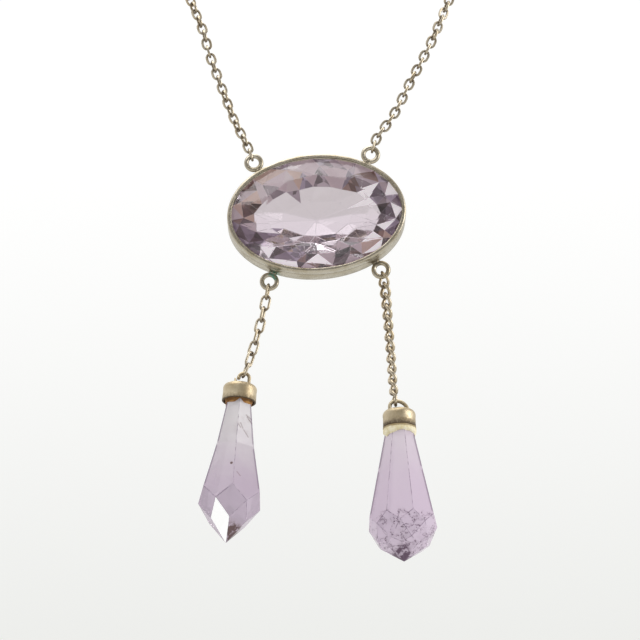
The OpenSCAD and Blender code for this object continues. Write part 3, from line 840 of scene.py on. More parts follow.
def right_bail_shells():
    """The uneven arch: a tight quarter turn on the left of the crown and a slack one on the
    right, whose leg thins where it was bent."""
    top = CAP_HEIGHT["right"]
    spring = top + ARCH_TOP - ARCH_LEFT
    leg = upright(ARCH_X - ARCH_LEFT, top - SUNK, spring - 0.1, 6)
    tight = arc((ARCH_X, spring, 0), ARCH_LEFT, 180, 90, 14)[:-1]
    slack = arc((ARCH_X, top + ARCH_TOP - ARCH_RIGHT, 0), ARCH_RIGHT, 90, 2.5, 24)
    curve = np.concatenate([leg, tight, slack])
    radius = np.full(len(curve), ARCH_WIRE / 2)
    radius[-9:] *= [1.02, 1.05, 1.05, 1.0, 0.9, 0.8, 0.85, 0.95, 1.05]
    return [wire(curve, radius, FRONT, 18)]


# %% Caps as pieces
RIM_DIRT = {"left": 0.35, "right": 0.9}


def cap_piece(side, bail_shells, seed):
    """One cap with its bail. Dirt stays at its rim and round the feet of the bail, and is
    worked out before the cap is hung."""
    shells = [cap_shell(side, seed)] + bail_shells
    y = joined(shells)[0][:, 1]
    rim = np.clip(1 - np.abs(y) / RIM_DIRT[side], 0, 1)
    feet = bell(y - CAP_HEIGHT[side], 0.2) * 0.8
    return make_piece(
        f"{side}_cap_and_bail", [(hung(points, side), faces) for points, faces in shells],
        f"{side}_drop", [f"{side}_cap"], 50, np.clip(rim + feet, 0, 1))


caps = [
    cap_piece("left", left_bail_shells(), 0.4), cap_piece("right", right_bail_shells(), 2.1)]

# %% [markdown]
# ## Cement
# The stones are set in cement that has shrunk, crumbled and been topped up. On the left it
# is brown and fills the cap to its rim. On the right it is a cream collar that runs a little
# way down the stone. Its outer face is a grid over angle and height, and its inner face
# follows the stone's flat sides. Lumps are sums of waves of unequal lengths, the same on
# every run.

# %% The stones' flat sides and the cement's lumps
STONE_SIDES, STONE_TURN = {"left": 6, "right": 8}, {"left": 5, "right": 17}
RIM_RADIUS, WAIST_RADIUS = {"left": 1.9, "right": 2.0}, {"left": 3.05, "right": 3.4}
STONE_LONG = {"left": 21.2, "right": 20.0}
WAIST_SHARE = 0.33
# Waves of the cement's lumps: how many go round it, and how fast each one turns with height
LUMP_WAVES = [(5, 4.1), (9, -6.3), (14, 9.7), (23, 13.1), (37, -17.0)]


def stone_radius(side, angle, y):
    """Distance from a drop's axis to its stone's flat sides in a direction, at a height of
    the cap. The section is regular, and its corner radius grows evenly down to the waist.
    The angle is measured from the viewer."""
    slope = (WAIST_RADIUS[side] - RIM_RADIUS[side]) / (WAIST_SHARE * STONE_LONG[side])
    step = 2 * np.pi / STONE_SIDES[side]
    from_middle = (angle - math.radians(STONE_TURN[side]) + step / 2) % step - step / 2
    from_middle = np.abs(from_middle) - step / 2
    return (RIM_RADIUS[side] - slope * y) * np.cos(step / 2) / np.cos(from_middle)


def lumps(angle, height, seed):
    """Smooth uneven numbers between about -1 and 1 over angle and height."""
    total = 0
    for k, (around, up) in enumerate(LUMP_WAVES):
        total = total + np.sin(around * angle + up * height + seed * (k + 1)) / (1 + 0.6 * k)
    return total / 2.2


for side in STONE_SIDES:
    print(side, "stone's radius in the rim:", round(float(stone_radius(side, 0.0, 0.0)), 2))

# %% A ring of cement
CEMENT_TOP = 1.4
# Room between the cement and the stone
GAP = 0.05


def cement_shell(side, low, under, seed, collar=False):
    """A ring of cement. Its outer face runs down from CEMENT_TOP to low(angle) inside the
    cap, and a collar widens to the cap's own radius below its rim. The lower face comes
    down by under(angle) on its way in to the stone, and the inner face follows the stone."""
    angle = round_steps(144)[None, :]
    low_edge = low(angle)
    down = np.linspace(0, 1, 12)[:, None]
    fit, proud = CAP_WIDTH[side] / 2 - CAP_WALL - 0.07, CAP_WIDTH[side] / 2 + 0.02
    if collar:
        y_hidden = np.linspace(CEMENT_TOP, -0.03, 4)[:, None] + 0 * angle
        y_outer = np.concatenate([y_hidden, -0.05 + (low_edge + 0.05) * down])
        r_outer = np.concatenate([fit + 0 * y_hidden[:, :1], proud + 0 * down])
        down = np.concatenate([0 * y_hidden[:, :1], down])
    else:
        y_outer, r_outer = CEMENT_TOP + (low_edge - CEMENT_TOP) * down, fit + 0 * down
    bulge = 1 - np.clip((down - 0.7) / 0.3, 0, 1) ** 2 * 0.05
    r_outer = r_outer * bulge * (1 + 0.012 * lumps(angle, y_outer, seed))
    r_outer = np.maximum(r_outer, stone_radius(side, angle, y_outer) + 1.6 * GAP)
    in_share = np.linspace(0, 1, 6)[1:, None]
    r_low = GAP + stone_radius(side, angle, low_edge - under(angle))
    fall = under(angle) * (1 + 0.25 * lumps(angle, 3 * in_share, seed + 2) * (1 - in_share))
    y_under = low_edge - fall * in_share
    r_under = r_outer[-1:] + (r_low - r_outer[-1:]) * in_share
    y_inner = np.array([0.4, 0.8, 1.0])[:, None] * CEMENT_TOP + 0 * angle
    r_inner = GAP + stone_radius(side, angle, y_inner)
    y = np.concatenate([y_outer, y_under, y_inner])
    r = np.concatenate([r_outer, r_under, r_inner])
    return closed_shell(np.stack([r * np.sin(angle), y, r * np.cos(angle)], -1))


# %% The two rings of cement


def away_from(angle, middle):
    """Angle from a middle, between half a turn back and half a turn on."""
    return np.angle(np.exp(1j * (angle - middle)))


def left_low_edge(angle):
    """The brown cement stands a little inside the rim."""
    return 0.10 + 0.04 * lumps(angle, 0, 1.3)


def left_fillet(angle):
    """It runs down onto the stone, less so at a notch by the stone's front edge."""
    return 0.62 - 0.48 * bell(away_from(angle, 0.12), 0.22)


def right_low_edge(angle):
    """The cream collar's scalloped lower edge, with a peak and a run down the stone."""
    scallops = 0.16 * np.sin(3 * angle + 0.6) + 0.10 * np.sin(7 * angle + 2.2)
    peak = 0.14 * bell(away_from(angle, 0.25), 0.25)
    run = 0.45 * bell(away_from(angle, -1.0), 0.18)
    return -1.05 + scallops + peak - run + 0.05 * lumps(angle, 0, 4.0)


def right_fillet(angle):
    """It turns in to the stone nearly level."""
    return 0.12 + 0 * angle


def cement_piece(name, side, shell):
    """A hung ring of cement. Its points know how near the cap's rim they are, because rust
    and dirt stain it there."""
    points, faces = shell
    return make_piece(
        name, [(hung(points, side), faces)], f"{side}_drop", [f"{side}_cement"], 60,
        bell(points[:, 1] + 0.05, 0.32))


brown_cement = cement_piece(
    "brown_cement_ring", "left",
    cement_shell("left", left_low_edge, left_fillet, 1.0))
cream_cement = cement_piece(
    "cream_cement_collar", "right",
    cement_shell("right", right_low_edge, right_fillet, 2.0, collar=True))

# %% [markdown]
# ## Cut stones
# A cut stone is a closed shell of flat facets, and its corners lie on rings. A ring that is
# turned by half a step from the last gives kites and triangles between the two. Old stones
# have rubbed edges, which show as fine lines. So each facet keeps its plane but shrinks a
# little, and narrow strips join it to the shared corners, which move inwards. The corners of
# the strips say how rubbed they are, and each facet carries a tone of its own.

# %% Facets with rubbed edges


def rubbed_facets(points, faces, strip, pull, crisp):
    """Facets shrunk by strip inside their own planes, and corners moved inwards by pull
    along their mean normal, except the crisp ones. An inner corner lies strip away from both
    of its edges, so it moves by strip over the sine of their angle along the sum of the
    edges' directions. Returns points, faces, the rub of each face corner and, for each face,
    the facet that it belongs to. An edge between two crisp corners shows no rub."""
    normals = np.zeros_like(points)
    inner, new_faces, owners, rub = [], [], [], []
    count = len(points)
    for k, face in enumerate(faces):
        p = points[face]
        before, after = unit(np.roll(p, 1, 0) - p), unit(np.roll(p, -1, 0) - p)
        sine = np.linalg.norm(np.cross(before, after), axis=1, keepdims=True)
        shortest = np.linalg.norm(np.roll(p, -1, 0) - p, axis=1).min()
        step = np.minimum(strip / np.maximum(sine, 0.2), 0.22 * shortest)
        inner.append(p + step * (before + after))
        own = list(range(count, count + len(face)))
        count += len(face)
        new_faces.append(own)
        rub += [0] * len(face)
        for i in range(len(face)):
            j = (i + 1) % len(face)
            new_faces.append([face[i], face[j], own[j], own[i]])
            worn = 0 if face[i] in crisp and face[j] in crisp else 1
            rub += [worn, worn, 0, 0]
        owners += [k] * (1 + len(face))
        normals[face] += np.cross(p[1] - p[0], p[2] - p[0]) / 2
    pulls = np.full(len(points), pull)
    pulls[crisp] = 0
    corners = points - pulls[:, None] * unit(normals)
    return np.concatenate([corners] + inner), new_faces, rub, np.array(owners)


# %% A cut stone as a piece


def check_closed(faces):
    """Each edge is run along once each way, so the facets close."""
    runs = [run for face in faces for run in zip(face, face[1:] + face[:1])]
    assert len(runs) == len(set(runs)), "an edge is run along twice"
    assert {(b, a) for a, b in runs} == set(runs), "facets must close"


def stone_piece(name, points, faces, body, node, slot, tones, misty, strip, pull, seat,
                crisp=()):
    """A cut stone as a piece. seat turns and places the drawn stone on the front view. tones
    holds one colour for each facet, on the centre stone's border a painted reflection, and the
    argument after it how little of the light passes each facet, being opaque painted colour
    instead of clear glass."""
    check_closed(faces)
    if enclosed_volume(points, faces) < 0:
        faces = [face[::-1] for face in faces]
    points, faces, rub, owners = rubbed_facets(points, faces, strip, pull, list(crisp))
    stone = make_piece(name, [(seat(points), faces)], body, [node], 0)
    stone.data.polygons.foreach_set("use_smooth", np.zeros(len(faces), bool))
    store(stone.data, "rubbed", "FLOAT", "CORNER", rub)
    store(stone.data, "facet_tone", "FLOAT_COLOR", "FACE", np.asarray(tones)[owners])
    store(stone.data, "misty", "FLOAT", "FACE", np.asarray(misty)[owners])
    return stone


# %% [markdown]
# ## The centre stone
# The crown has a table, twelve stars, twelve kites and twenty-four girdle facets. The
# pavilion is cut in steps. Its steep outer facets carry painted reflections: a border of
# dark and bright shards with painted glints. Its shallow inner ones let the light straight
# through, which leaves a pale window in the middle.

# %% Tones of the centre stone's facets


def colour(red, green, blue):
    """A colour as seen on screen, 0 to 255, turned into the linear numbers of a shader."""
    c = np.array([red, green, blue]) / 255
    linear = np.where(c <= 0.04045, c / 12.92, ((c + 0.055) / 1.055) ** 2.4)
    return (*linear.tolist(), 1.0)


# Each tone is a colour and how little of the light passes a facet of it. The border's tones are
# painted reflections, one of them a painted white glint.
TONES = {
    "dark": (colour(126, 110, 112), 0.84), "slate": (colour(172, 160, 176), 0.84),
    "lilac": (colour(230, 222, 240), 0.80), "flash": (colour(255, 250, 255), 0.97),
    "peach": (colour(255, 232, 210), 0.90), "rose": (colour(255, 248, 246), 0.92),
    "grey": (colour(228, 216, 224), 0.70), "brown": (colour(184, 156, 144), 0.84),
    "pearl": (colour(252, 240, 242), 0.92), "clear": (colour(255, 252, 254), 0.0)}
# Painted reflections on the border's shards by twelfths, from the right and anticlockwise
BORDER = [
    "slate lilac flash grey", "lilac brown pearl grey", "pearl grey lilac pearl",
    "pearl rose grey peach", "peach rose brown rose", "dark peach rose brown",
    "slate dark lilac slate", "slate dark lilac flash", "flash dark rose brown",
    "brown dark rose dark", "brown flash dark peach", "slate lilac dark flash"]
print("tones:", len(TONES))

# %% Rings of the centre stone
CROWN, PAVILION = 2.0, 5.0
TABLE_SHARE, STAR_SHARE = 0.62, 0.80
# The pavilion's rings: share of the length and of the width, depth below the girdle, turn
# as a part of a step, number of corners, and how uneven they are
STEPS = [(0.86, 0.79, 1.45, 0.5, 24, 0.30), (0.68, 0.54, 2.80, 1, 24, 0.12),
         (0.42, 0.32, 3.95, 0, 12, 0.22)]


def oval_ring(share_long, share_short, z, turn, count, uneven=0.0):
    """Corners of an oval ring at a height. turn moves it on by a part of a step, and uneven
    moves its corners off their even places by up to that part, as hand cutting does."""
    k = np.arange(count)
    a = 2 * np.pi * (k + turn + uneven * np.sin(2.4 * k + 1.1)) / count
    share_long = share_long * (1 + 0.16 * uneven * np.sin(3.9 * k))
    share_short = share_short * (1 + 0.26 * uneven * np.sin(3.9 * k))
    return np.stack([
        STONE_LENGTH / 2 * share_long * np.cos(a), STONE_WIDTH / 2 * share_short * np.sin(a),
        0 * a + z], -1)


def centre_corners():
    """Corners of the centre stone, ring by ring. The stars' corners lie on the plane through
    a table corner and the girdle, which keeps the kites flat."""
    top = GIRDLE / 2
    star_rise = (1 - STAR_SHARE * math.cos(math.pi / 12)) / (1 - TABLE_SHARE)
    return np.concatenate([
        oval_ring(TABLE_SHARE, TABLE_SHARE, top + CROWN, 0, 12),
        oval_ring(STAR_SHARE, STAR_SHARE, top + CROWN * star_rise, 0.5, 12),
        oval_ring(1, 1, top, 0, 24),
        oval_ring(1, 1, -top, 0, 24),
        *(oval_ring(long, short, -top - depth, turn, count, uneven)
          for long, short, depth, turn, count, uneven in STEPS),
        [[0, 0, -top - PAVILION]]])


print("corners of the centre stone:", len(centre_corners()))

# %% Facets of the centre stone
# Width of a rubbed edge's strip, and how far the corners are worn in
CENTRE_RUB = (0.05, 0.012)


def centre_facets():
    """Facets of the centre stone and the names of their tones."""
    table, star, upper, lower, middle, step, inner, culet = 0, 12, 24, 48, 72, 96, 120, 132
    faces, names = [[table + k for k in range(12)]], ["clear"]
    for k in range(12):
        p, q = (k - 1) % 12, (k + 1) % 12
        g, h, i = 2 * k, 2 * k + 1, (2 * k + 2) % 24
        border = BORDER[k].split()
        faces += [
            [table + k, star + k, table + q], [table + k, star + p, upper + g, star + k],
            [star + k, upper + g, upper + h], [star + k, upper + h, upper + i],
            [upper + g, lower + g, lower + h, upper + h],
            [upper + h, lower + h, lower + i, upper + i]]
        names += ["clear"] * 6
        faces += [
            [lower + g, middle + g, lower + h], [middle + g, middle + h, lower + h],
            [lower + h, middle + h, lower + i], [middle + h, middle + i, lower + i],
            [middle + g, step + g, middle + h], [step + g, step + h, middle + h],
            [middle + h, step + h, middle + i], [step + h, step + i, middle + i]]
        names += border + [border[3], border[1], border[0], border[2]]
        faces += [
            [step + (g - 1) % 24, inner + k, step + g], [step + g, inner + k, inner + q],
            [step + g, inner + q, step + h]]
        names += ["clear", "clear", "clear" if k % 3 else border[2]]
        faces.append([inner + q, inner + k, culet])
        names.append("clear")
    return faces, names


def seat_centre(points):
    """The drawn stone stands at the girdle's middle and turns with the collet."""
    return turned(points - np.array([0, 0, GIRDLE_DROP + GIRDLE / 2]), PENDANT_TURN)


centre_faces, tone_names = centre_facets()
centre_stone = stone_piece(
    "oval_stone", centre_corners(), centre_faces, "pendant", "centre_stone", "centre_amethyst",
    [TONES[n][0] for n in tone_names], [TONES[n][1] for n in tone_names], *CENTRE_RUB,
    seat_centre)

# %% [markdown]
# ## The two drops
# Both drops are long pyramids that widen downwards and end in kites round a point. The left
# one has six sides and a row of large kites. The right one has eight sides and a zigzag row
# of smaller ones. Each ring is given as a radius and a depth below the cap's rim.

# %% Lines that carry the corners


def meeting(p, q, r, s):
    """Where the line through p and q meets the line through r and s, as radius and depth."""
    m, k = (q[0] - p[0]) / (q[1] - p[1]), (s[0] - r[0]) / (s[1] - r[1])
    depth = (r[0] - p[0] + m * p[1] - k * r[1]) / (m - k)
    return [p[0] + m * (depth - p[1]), depth]


def on_line(p, q, depth):
    """The point at a depth on the line through p and q."""
    return [p[0] + (q[0] - p[0]) * (depth - p[1]) / (q[1] - p[1]), depth]


# %% Facets of the drops


def drop_facets(fold, body, kites, tip, turn):
    """Corners and facets of a drop. The body's rings stand at its edges. Below them the rings
    stand between the edges and at them by turns, so each facet between is a kite."""
    rings = body + kites
    b, n = len(body), len(rings)
    points = []
    for i, (radius, depth) in enumerate(rings):
        half = 0 if i < b else (i - b + 1) % 2 * 0.5
        a = np.radians(turn + 360 * (np.arange(fold) + half) / fold)
        points.append(np.stack([radius * np.sin(a), 0 * a - depth, radius * np.cos(a)], -1))
    points = np.concatenate(points + [[[0, -tip, 0]]])

    def corner(i, k):
        """Number of a ring's corner, counted round."""
        return i * fold + k % fold

    faces = [[corner(0, k) for k in range(fold)][::-1]]
    for k in range(fold):
        for i in range(b - 2):
            faces.append([
                corner(i, k), corner(i, k + 1), corner(i + 1, k + 1), corner(i + 1, k)])
        faces.append([
            corner(b - 2, k), corner(b - 2, k + 1), corner(b - 1, k + 1), corner(b, k),
            corner(b - 1, k)])
        for i in range(b - 1, n - 1):
            back = 1 if (i - b + 1) % 2 == 0 else 0
            last = n * fold if i == n - 2 else corner(i + 2, k)
            faces.append([corner(i, k), corner(i + 1, k - back + 1), last,
                          corner(i + 1, k - back)])
    return points, faces


# %% The two drops as pieces
EDGE_RADIUS = {"left": 4.65, "right": 4.94}
BODY_TONE = [0.88, 0.86, 0.87, 1]
# How little of the light passes the long facets, the kites and one facet with a painted glint,
# being opaque painted colour
BODY_PAINTED_SHARE, KITE_PAINTED_SHARE, GLINT_PAINTED_SHARE = 0.68, 0.60, 0.97
TOP_INSIDE_CAP = -1.3
DROP_RUB = (0.11, 0.02)


def drop_stone(side, shares, flash=None):
    """One drop. shares are the depths of the widest edge and of the kites' rings as parts of
    the length, and the first facets run up inside the cap. The waist is a slight bend that
    shows no line, so its corners stay crisp. The place given last is near the facet that takes a
    painted glint."""
    fold, length = STONE_SIDES[side], STONE_LONG[side]
    waist = [WAIST_RADIUS[side], WAIST_SHARE * length]
    edge = [EDGE_RADIUS[side], shares[0] * length]
    flat = math.cos(math.pi / fold)
    body = [on_line([RIM_RADIUS[side], 0], waist, TOP_INSIDE_CAP), waist, edge]
    shoulder = on_line(waist, edge, shares[1] * length)
    kites = [[shoulder[0] * flat, shoulder[1]]]
    before = edge
    if len(shares) > 2:
        before = kites[0]
        kites.append(on_line(edge, [before[0] * flat, before[1]], shares[2] * length))
    radius, low = kites[-1]
    kites.append(meeting(before, [radius * flat, low], [radius / flat, low], [0, length]))
    points, faces = drop_facets(fold, body, kites, length, STONE_TURN[side])
    depth = np.array([-points[face][:, 1].mean() for face in faces])
    tones = np.ones((len(faces), 4))
    body_facets = depth < edge[1]
    tones[body_facets] = BODY_TONE
    misty = np.where(body_facets, BODY_PAINTED_SHARE, KITE_PAINTED_SHARE)
    if flash is not None:
        # The facet whose middle lies nearest to that place gets a painted glint.
        middles = np.array([points[face].mean(0) for face in faces])
        misty[np.linalg.norm(middles - np.array(flash), axis=1).argmin()] = GLINT_PAINTED_SHARE
    return stone_piece(
        f"{side}_stone", points, faces, f"{side}_drop", f"{side}_drop_stone", "drop_amethyst",
        tones, misty, *DROP_RUB, lambda p: hung(p, side), range(fold, 2 * fold))


left_stone = drop_stone("left", (0.65, 0.745), flash=(-1.3, -18.3, 2.0))
right_stone = drop_stone("right", (0.685, 0.76, 0.87))

# %% [markdown]
# ## Shader arithmetic
# A finish is mostly arithmetic on masks: more tarnish here, less there. Wrapping a socket in
# a small class lets that arithmetic be written as Python, and each sign adds its Math node.
# Every other node comes from one method, which sets the node's own choices first and then
# fills or links its sockets.

# %% The socket class


class Value:
    """A socket that carries a number. Arithmetic on it adds Math nodes."""

    def __init__(self, finish, socket):
        self.finish = finish
        self.socket = socket

    def math(self, operation, *inputs):
        """A Math node with this operation on these inputs."""
        return self.finish.node(
            "ShaderNodeMath", {"operation": operation}, dict(enumerate(inputs)))

    def __add__(self, other):
        return self.math("ADD", self, other)

    def __sub__(self, other):
        return self.math("SUBTRACT", self, other)

    def __rsub__(self, other):
        return self.math("SUBTRACT", other, self)

    def __mul__(self, other):
        return self.math("MULTIPLY", self, other)

    def __abs__(self):
        return self.math("ABSOLUTE", self)

    def clipped(self):
        """The number held between 0 and 1."""
        return self.finish.node(
            "ShaderNodeClamp", {}, {"Value": self, "Min": 0.0, "Max": 1.0})

    __radd__ = __add__
    __rmul__ = __mul__


# %% The finish class


class Finish:
    """The nodes of a material or of the world, added one by one."""

    def __init__(self, owner):
        self.owner = owner
        owner.use_nodes = True
        self.tree = owner.node_tree
        self.tree.nodes.clear()

    def node(self, kind, settings=None, inputs=None, output=0):
        """Adds a node. settings are its own choices, such as an operation or a ramp's stops.
        inputs are values or links by socket name or number. Returns one of its outputs."""
        node = self.tree.nodes.new(kind)
        for key, choice in (settings or {}).items():
            if key == "stops":
                ramp = node.color_ramp
                ramp.interpolation = "CONSTANT"
                while len(ramp.elements) < len(choice):
                    ramp.elements.new(0.5)
                for element, (position, tone) in zip(ramp.elements, choice):
                    element.position = position
                    element.color = tone
            else:
                setattr(node, key, choice)
        for key, source in (inputs or {}).items():
            if isinstance(source, Value):
                self.tree.links.new(source.socket, node.inputs[key])
            else:
                node.inputs[key].default_value = source
        return Value(self, node.outputs[output]) if node.outputs else None

    def where(self):
        """Object coordinates, in metres."""
        return self.node("ShaderNodeTexCoord", output="Object")

    def height(self):
        """Height in the frame, in metres."""
        return self.node("ShaderNodeSeparateXYZ", {}, {"Vector": self.where()}, output="Z")

    def mapped(self, vector, **sockets):
        """Coordinates turned, scaled and then shifted."""
        return self.node("ShaderNodeMapping", {}, {"Vector": vector, **sockets})

    def place(self, middle=(0, 0, 0)):
        """Object coordinates in millimetres from a middle in metres."""
        return self.mapped(
            self.where(), Location=tuple(-m / MM for m in middle), Scale=(1 / MM,) * 3)

    def length(self, vector):
        """How long a vector is."""
        return self.node(
            "ShaderNodeVectorMath", {"operation": "LENGTH"}, {0: vector}, output="Value")

    def stored(self, label, output="Fac"):
        """Numbers that the mesh carries under a label."""
        return self.node("ShaderNodeAttribute", {"attribute_name": label}, output=output)

    def noise(self, size, detail, roughness=0.55, where=None):
        """Noise whose patches are about size millimetres across, from 0 to 1."""
        return self.node("ShaderNodeTexNoise", {}, {
            "Vector": where or self.place(), "Scale": 1.0 / size, "Detail": detail,
            "Roughness": roughness})

    def ramp(self, value, low, high, **ends):
        """0 below low, 1 above high, and a smooth step between."""
        return self.node(
            "ShaderNodeMapRange", {"interpolation_type": "SMOOTHSTEP"},
            {"Value": value, "From Min": low, "From Max": high, **ends})

    def mix(self, factor, a, b, blend="MIX"):
        """Colour a where factor is 0 and b where it is 1. Sockets 6 and 7 are the colours."""
        return self.node(
            "ShaderNodeMix", {"data_type": "RGBA", "blend_type": blend},
            {"Factor": factor, 6: a, 7: b}, output=2)

    def bump(self, height, depth_mm):
        """A normal bent by a height from 0 to 1 that stands for depth_mm of relief."""
        return self.node("ShaderNodeBump", {}, {
            "Height": height, "Distance": depth_mm * MM, "Strength": 1.0})

    def shader(self, **sockets):
        """A Principled shader, with sockets named as in Blender but underscores for spaces."""
        named = {key.replace("_", " "): value for key, value in sockets.items()}
        return self.node("ShaderNodeBsdfPrincipled", {}, named)

    def finished(self, surface, kind="ShaderNodeOutputMaterial"):
        """The material or world, once its surface is joined to the output."""
        self.node(kind, {}, {"Surface": surface})
        return self.owner


def new_finish(name):
    """A new material to build."""
    return Finish(bpy.data.materials.new(name))


# %% [markdown]
# ## Worn metal
# The metal is a pale silver alloy that has yellowed. Rubbed edges are bright, and recesses
# keep brown tarnish. The same dark colour is painted as shade under the collet's lip and where
# links meet. The points carry a number for both, and noise breaks that mask up. Fine scratches
# and a slow unevenness of the surface go into the bump.

# %% Worn metal
METAL_RELIEF = 0.06


def worn_metal(name, bright, yellowed, tarnish_and_shade_colour, tarnish_and_shade_amount, rough_low, rough_high,
               green_spot=None):
    """Pale metal that mixes a bright and a yellowed tone by slow noise, and a dark colour by the
    points' numbers and finer noise: patina, grime and painted shade. green_spot is (middle in
    metres, radius in mm)."""
    f = new_finish(name)
    sheltered = f.stored("sheltered")
    slow = f.noise(2.2, 3.0)
    fine = f.noise(0.35, 5.0, 0.65)
    # Tarnish and dirt, and painted shade from the points' numbers under the lip and at the
    # links' ends.
    dirt_and_shade_mix = f.ramp(sheltered * 0.8 + fine * 0.75 + slow * 0.25 - 0.30, 0.35, 0.95)
    base = f.mix(f.ramp(slow, 0.35, 0.7), bright, yellowed)
    base = f.mix((dirt_and_shade_mix * tarnish_and_shade_amount).clipped(), base, tarnish_and_shade_colour)
    if green_spot is not None:
        middle, radius = green_spot
        away = f.length(f.place(middle))
        green = f.ramp(fine, 0.42, 0.60) * (1 - f.ramp(away, 0.45 * radius, radius))
        base = f.mix(green.clipped(), base, colour(96, 150, 128))
    scratches = f.noise(0.9, 2.0, 0.5, f.mapped(
        f.place(), Rotation=(0.4, 0.9, 0.3), Scale=(1.0, 9.0, 9.0)))
    roughness = rough_low + (rough_high - rough_low) * f.ramp(fine + dirt_and_shade_mix * 0.4, 0.3, 0.9)
    height = slow * 0.5 + fine * 0.25 + scratches * 0.25
    return f.finished(f.shader(
        Base_Color=base, Metallic=1.0 - 0.55 * dirt_and_shade_mix, Roughness=roughness,
        Normal=f.bump(height, METAL_RELIEF)))


# %% The three metal finishes
TARNISHED_JOINT = (0.75, 0.85, 0.2)
lower_left_joint = to_row(ring_middle("lower_left") + np.array(TARNISHED_JOINT))
silver = worn_metal(
    "pale_silver", bright=colour(196, 187, 170), yellowed=colour(176, 164, 140),
    tarnish_and_shade_colour=colour(70, 58, 44), tarnish_and_shade_amount=0.85, rough_low=0.22, rough_high=0.42,
    green_spot=(lower_left_joint.tolist(), 1.1))
link_metal = worn_metal(
    "link_silver", bright=colour(208, 196, 174), yellowed=colour(188, 172, 144),
    tarnish_and_shade_colour=colour(92, 74, 56), tarnish_and_shade_amount=0.75, rough_low=0.22, rough_high=0.42)
cap_finish = worn_metal(
    "cap_silver", bright=colour(206, 192, 164), yellowed=colour(178, 160, 128),
    tarnish_and_shade_colour=colour(78, 62, 42), tarnish_and_shade_amount=0.90, rough_low=0.38, rough_high=0.62)
print("metal finishes:", silver.name, link_metal.name, cap_finish.name)

# %% [markdown]
# ## Cement finish
# Old setting cement is chalky and stained. It needs a matt surface, a colour that changes
# over a millimetre or so, and grains that catch the light.

# %% Cement finishes
CEMENT_RELIEF = 0.10


def cement_finish(name, light, dark, stain, rim_stain):
    """Matt cement: two tones by slow noise, dark grains by fine noise, a stain along the
    cap's rim, and a rough bump."""
    f = new_finish(name)
    slow = f.noise(0.9, 4.0)
    grain = f.noise(0.16, 4.0, 0.7)
    base = f.mix(f.ramp(slow, 0.35, 0.68), light, dark)
    base = f.mix(f.ramp(grain, 0.60, 0.78) * 0.7, base, stain)
    rust = f.ramp(f.stored("sheltered") + slow * 0.9, 0.75, 1.25) * rim_stain
    base = f.mix(rust, base, stain)
    return f.finished(f.shader(
        Base_Color=base, Roughness=0.85,
        Normal=f.bump(slow * 0.5 + grain * 0.5, CEMENT_RELIEF)))


brown_finish = cement_finish(
    "brown_cement", light=colour(192, 142, 80), dark=colour(146, 94, 44),
    stain=colour(70, 42, 22), rim_stain=0.5)
cream_finish = cement_finish(
    "cream_cement", light=colour(250, 242, 216), dark=colour(232, 216, 168),
    stain=colour(136, 108, 62), rim_stain=0.75)
print("cement finishes:", brown_finish.name, cream_finish.name)

# %% [markdown]
# ## Stone finishes
# The stones are pale amethyst, cut long ago and a little worn. A clear shader with the
# index of quartz bends the light behind the facets, and its tint is deeper where the real
# colour zone lies. Fine veils and specks inside the real stones are drawn on the surface as
# faint darker marks, because they are too thin to model.
# The border's colours are painted reflections and glints, the opaque facets give off a faint
# painted inner light, and strokes of painted shade run along the drops' silhouette edges.

# %% Places on a stone


def near(f, x, y, z, radius):
    """1 close to a point of the front view, in millimetres, and 0 beyond a radius. Depth
    counts for a third, so that a flaw reaches a little way into the stone."""
    scale = np.array([1, 1 / 3, 1]) / MM
    shifted = f.mapped(f.where(), Location=-to_row([x, y, z]) * scale, Scale=scale)
    return 1 - f.ramp(f.length(shifted), 0.35 * radius, radius)


def below(f, y, fade):
    """0 above a height of the front view and 1 once fade millimetres below it."""
    edge = float(to_row([0, y, 0])[2])
    return 1 - f.ramp(f.height(), edge - fade * MM, edge)


def veins(f, size, width, seed):
    """Fine wandering lines: where noise is close to its middle value."""
    noise = f.noise(size, 3.0, 0.6, f.place((seed, 0, 0)))
    return 1 - f.ramp(abs(noise - 0.5), 0.0, width)


# %% Straight lines on a stone
EDGE_INSET = 0.13


def stroke(f, start, end, width):
    """1 along a straight line between two points of the front view, in millimetres, and 0
    beyond a width from it. The line is turned onto X about its own middle, so X is then the
    way along it and Z the way off it."""
    a, b = to_row(start) / MM, to_row(end) / MM
    half = math.hypot(b[0] - a[0], b[2] - a[2]) / 2
    slope = math.atan2(b[2] - a[2], b[0] - a[0])
    c, s = math.cos(slope), math.sin(slope)
    x, z = (a[0] + b[0]) / 2, (a[2] + b[2]) / 2
    placed = f.mapped(
        f.where(), Scale=(1 / MM,) * 3, Rotation=(0, slope, 0),
        Location=(-x * c - z * s, 0, x * s - z * c))
    along, off = (
        abs(f.node("ShaderNodeSeparateXYZ", {}, {"Vector": placed}, output=axis))
        for axis in "XZ")
    return (1 - f.ramp(off, 0.4 * width, width)) * (1 - f.ramp(along, 0.85 * half, half))


def edge_strokes(side, angles, rows):
    """The long edges of a drop at some angles as (start, end) pairs on the front view, a little
    inside the outline, where strokes of painted shade go. rows give the drop's radius at depths
    below the rim."""
    pairs = []
    for angle in np.radians(angles):
        line = hung(np.array([
            [(r - EDGE_INSET) * math.sin(angle), -depth, (r - EDGE_INSET) * math.cos(angle)]
            for r, depth in rows]), side)
        pairs += list(zip(line[:-1], line[1:]))
    return pairs


# %% Clear amethyst
QUARTZ_INDEX = 1.544
# Width and strength of the strokes of painted shade along the drops' silhouette edges
EDGE_WIDTH, EDGE_STRENGTH = 0.19, 0.68
TINT_WAVER = 6 * MM
SHARDS_PER_MM = 0.62
WHITE = (1.0, 1.0, 1.0, 1.0)
# Emission colour of a painted glint
PAINTED_GLINT_EMISSION = (3.0, 3.0, 3.0, 1.0)
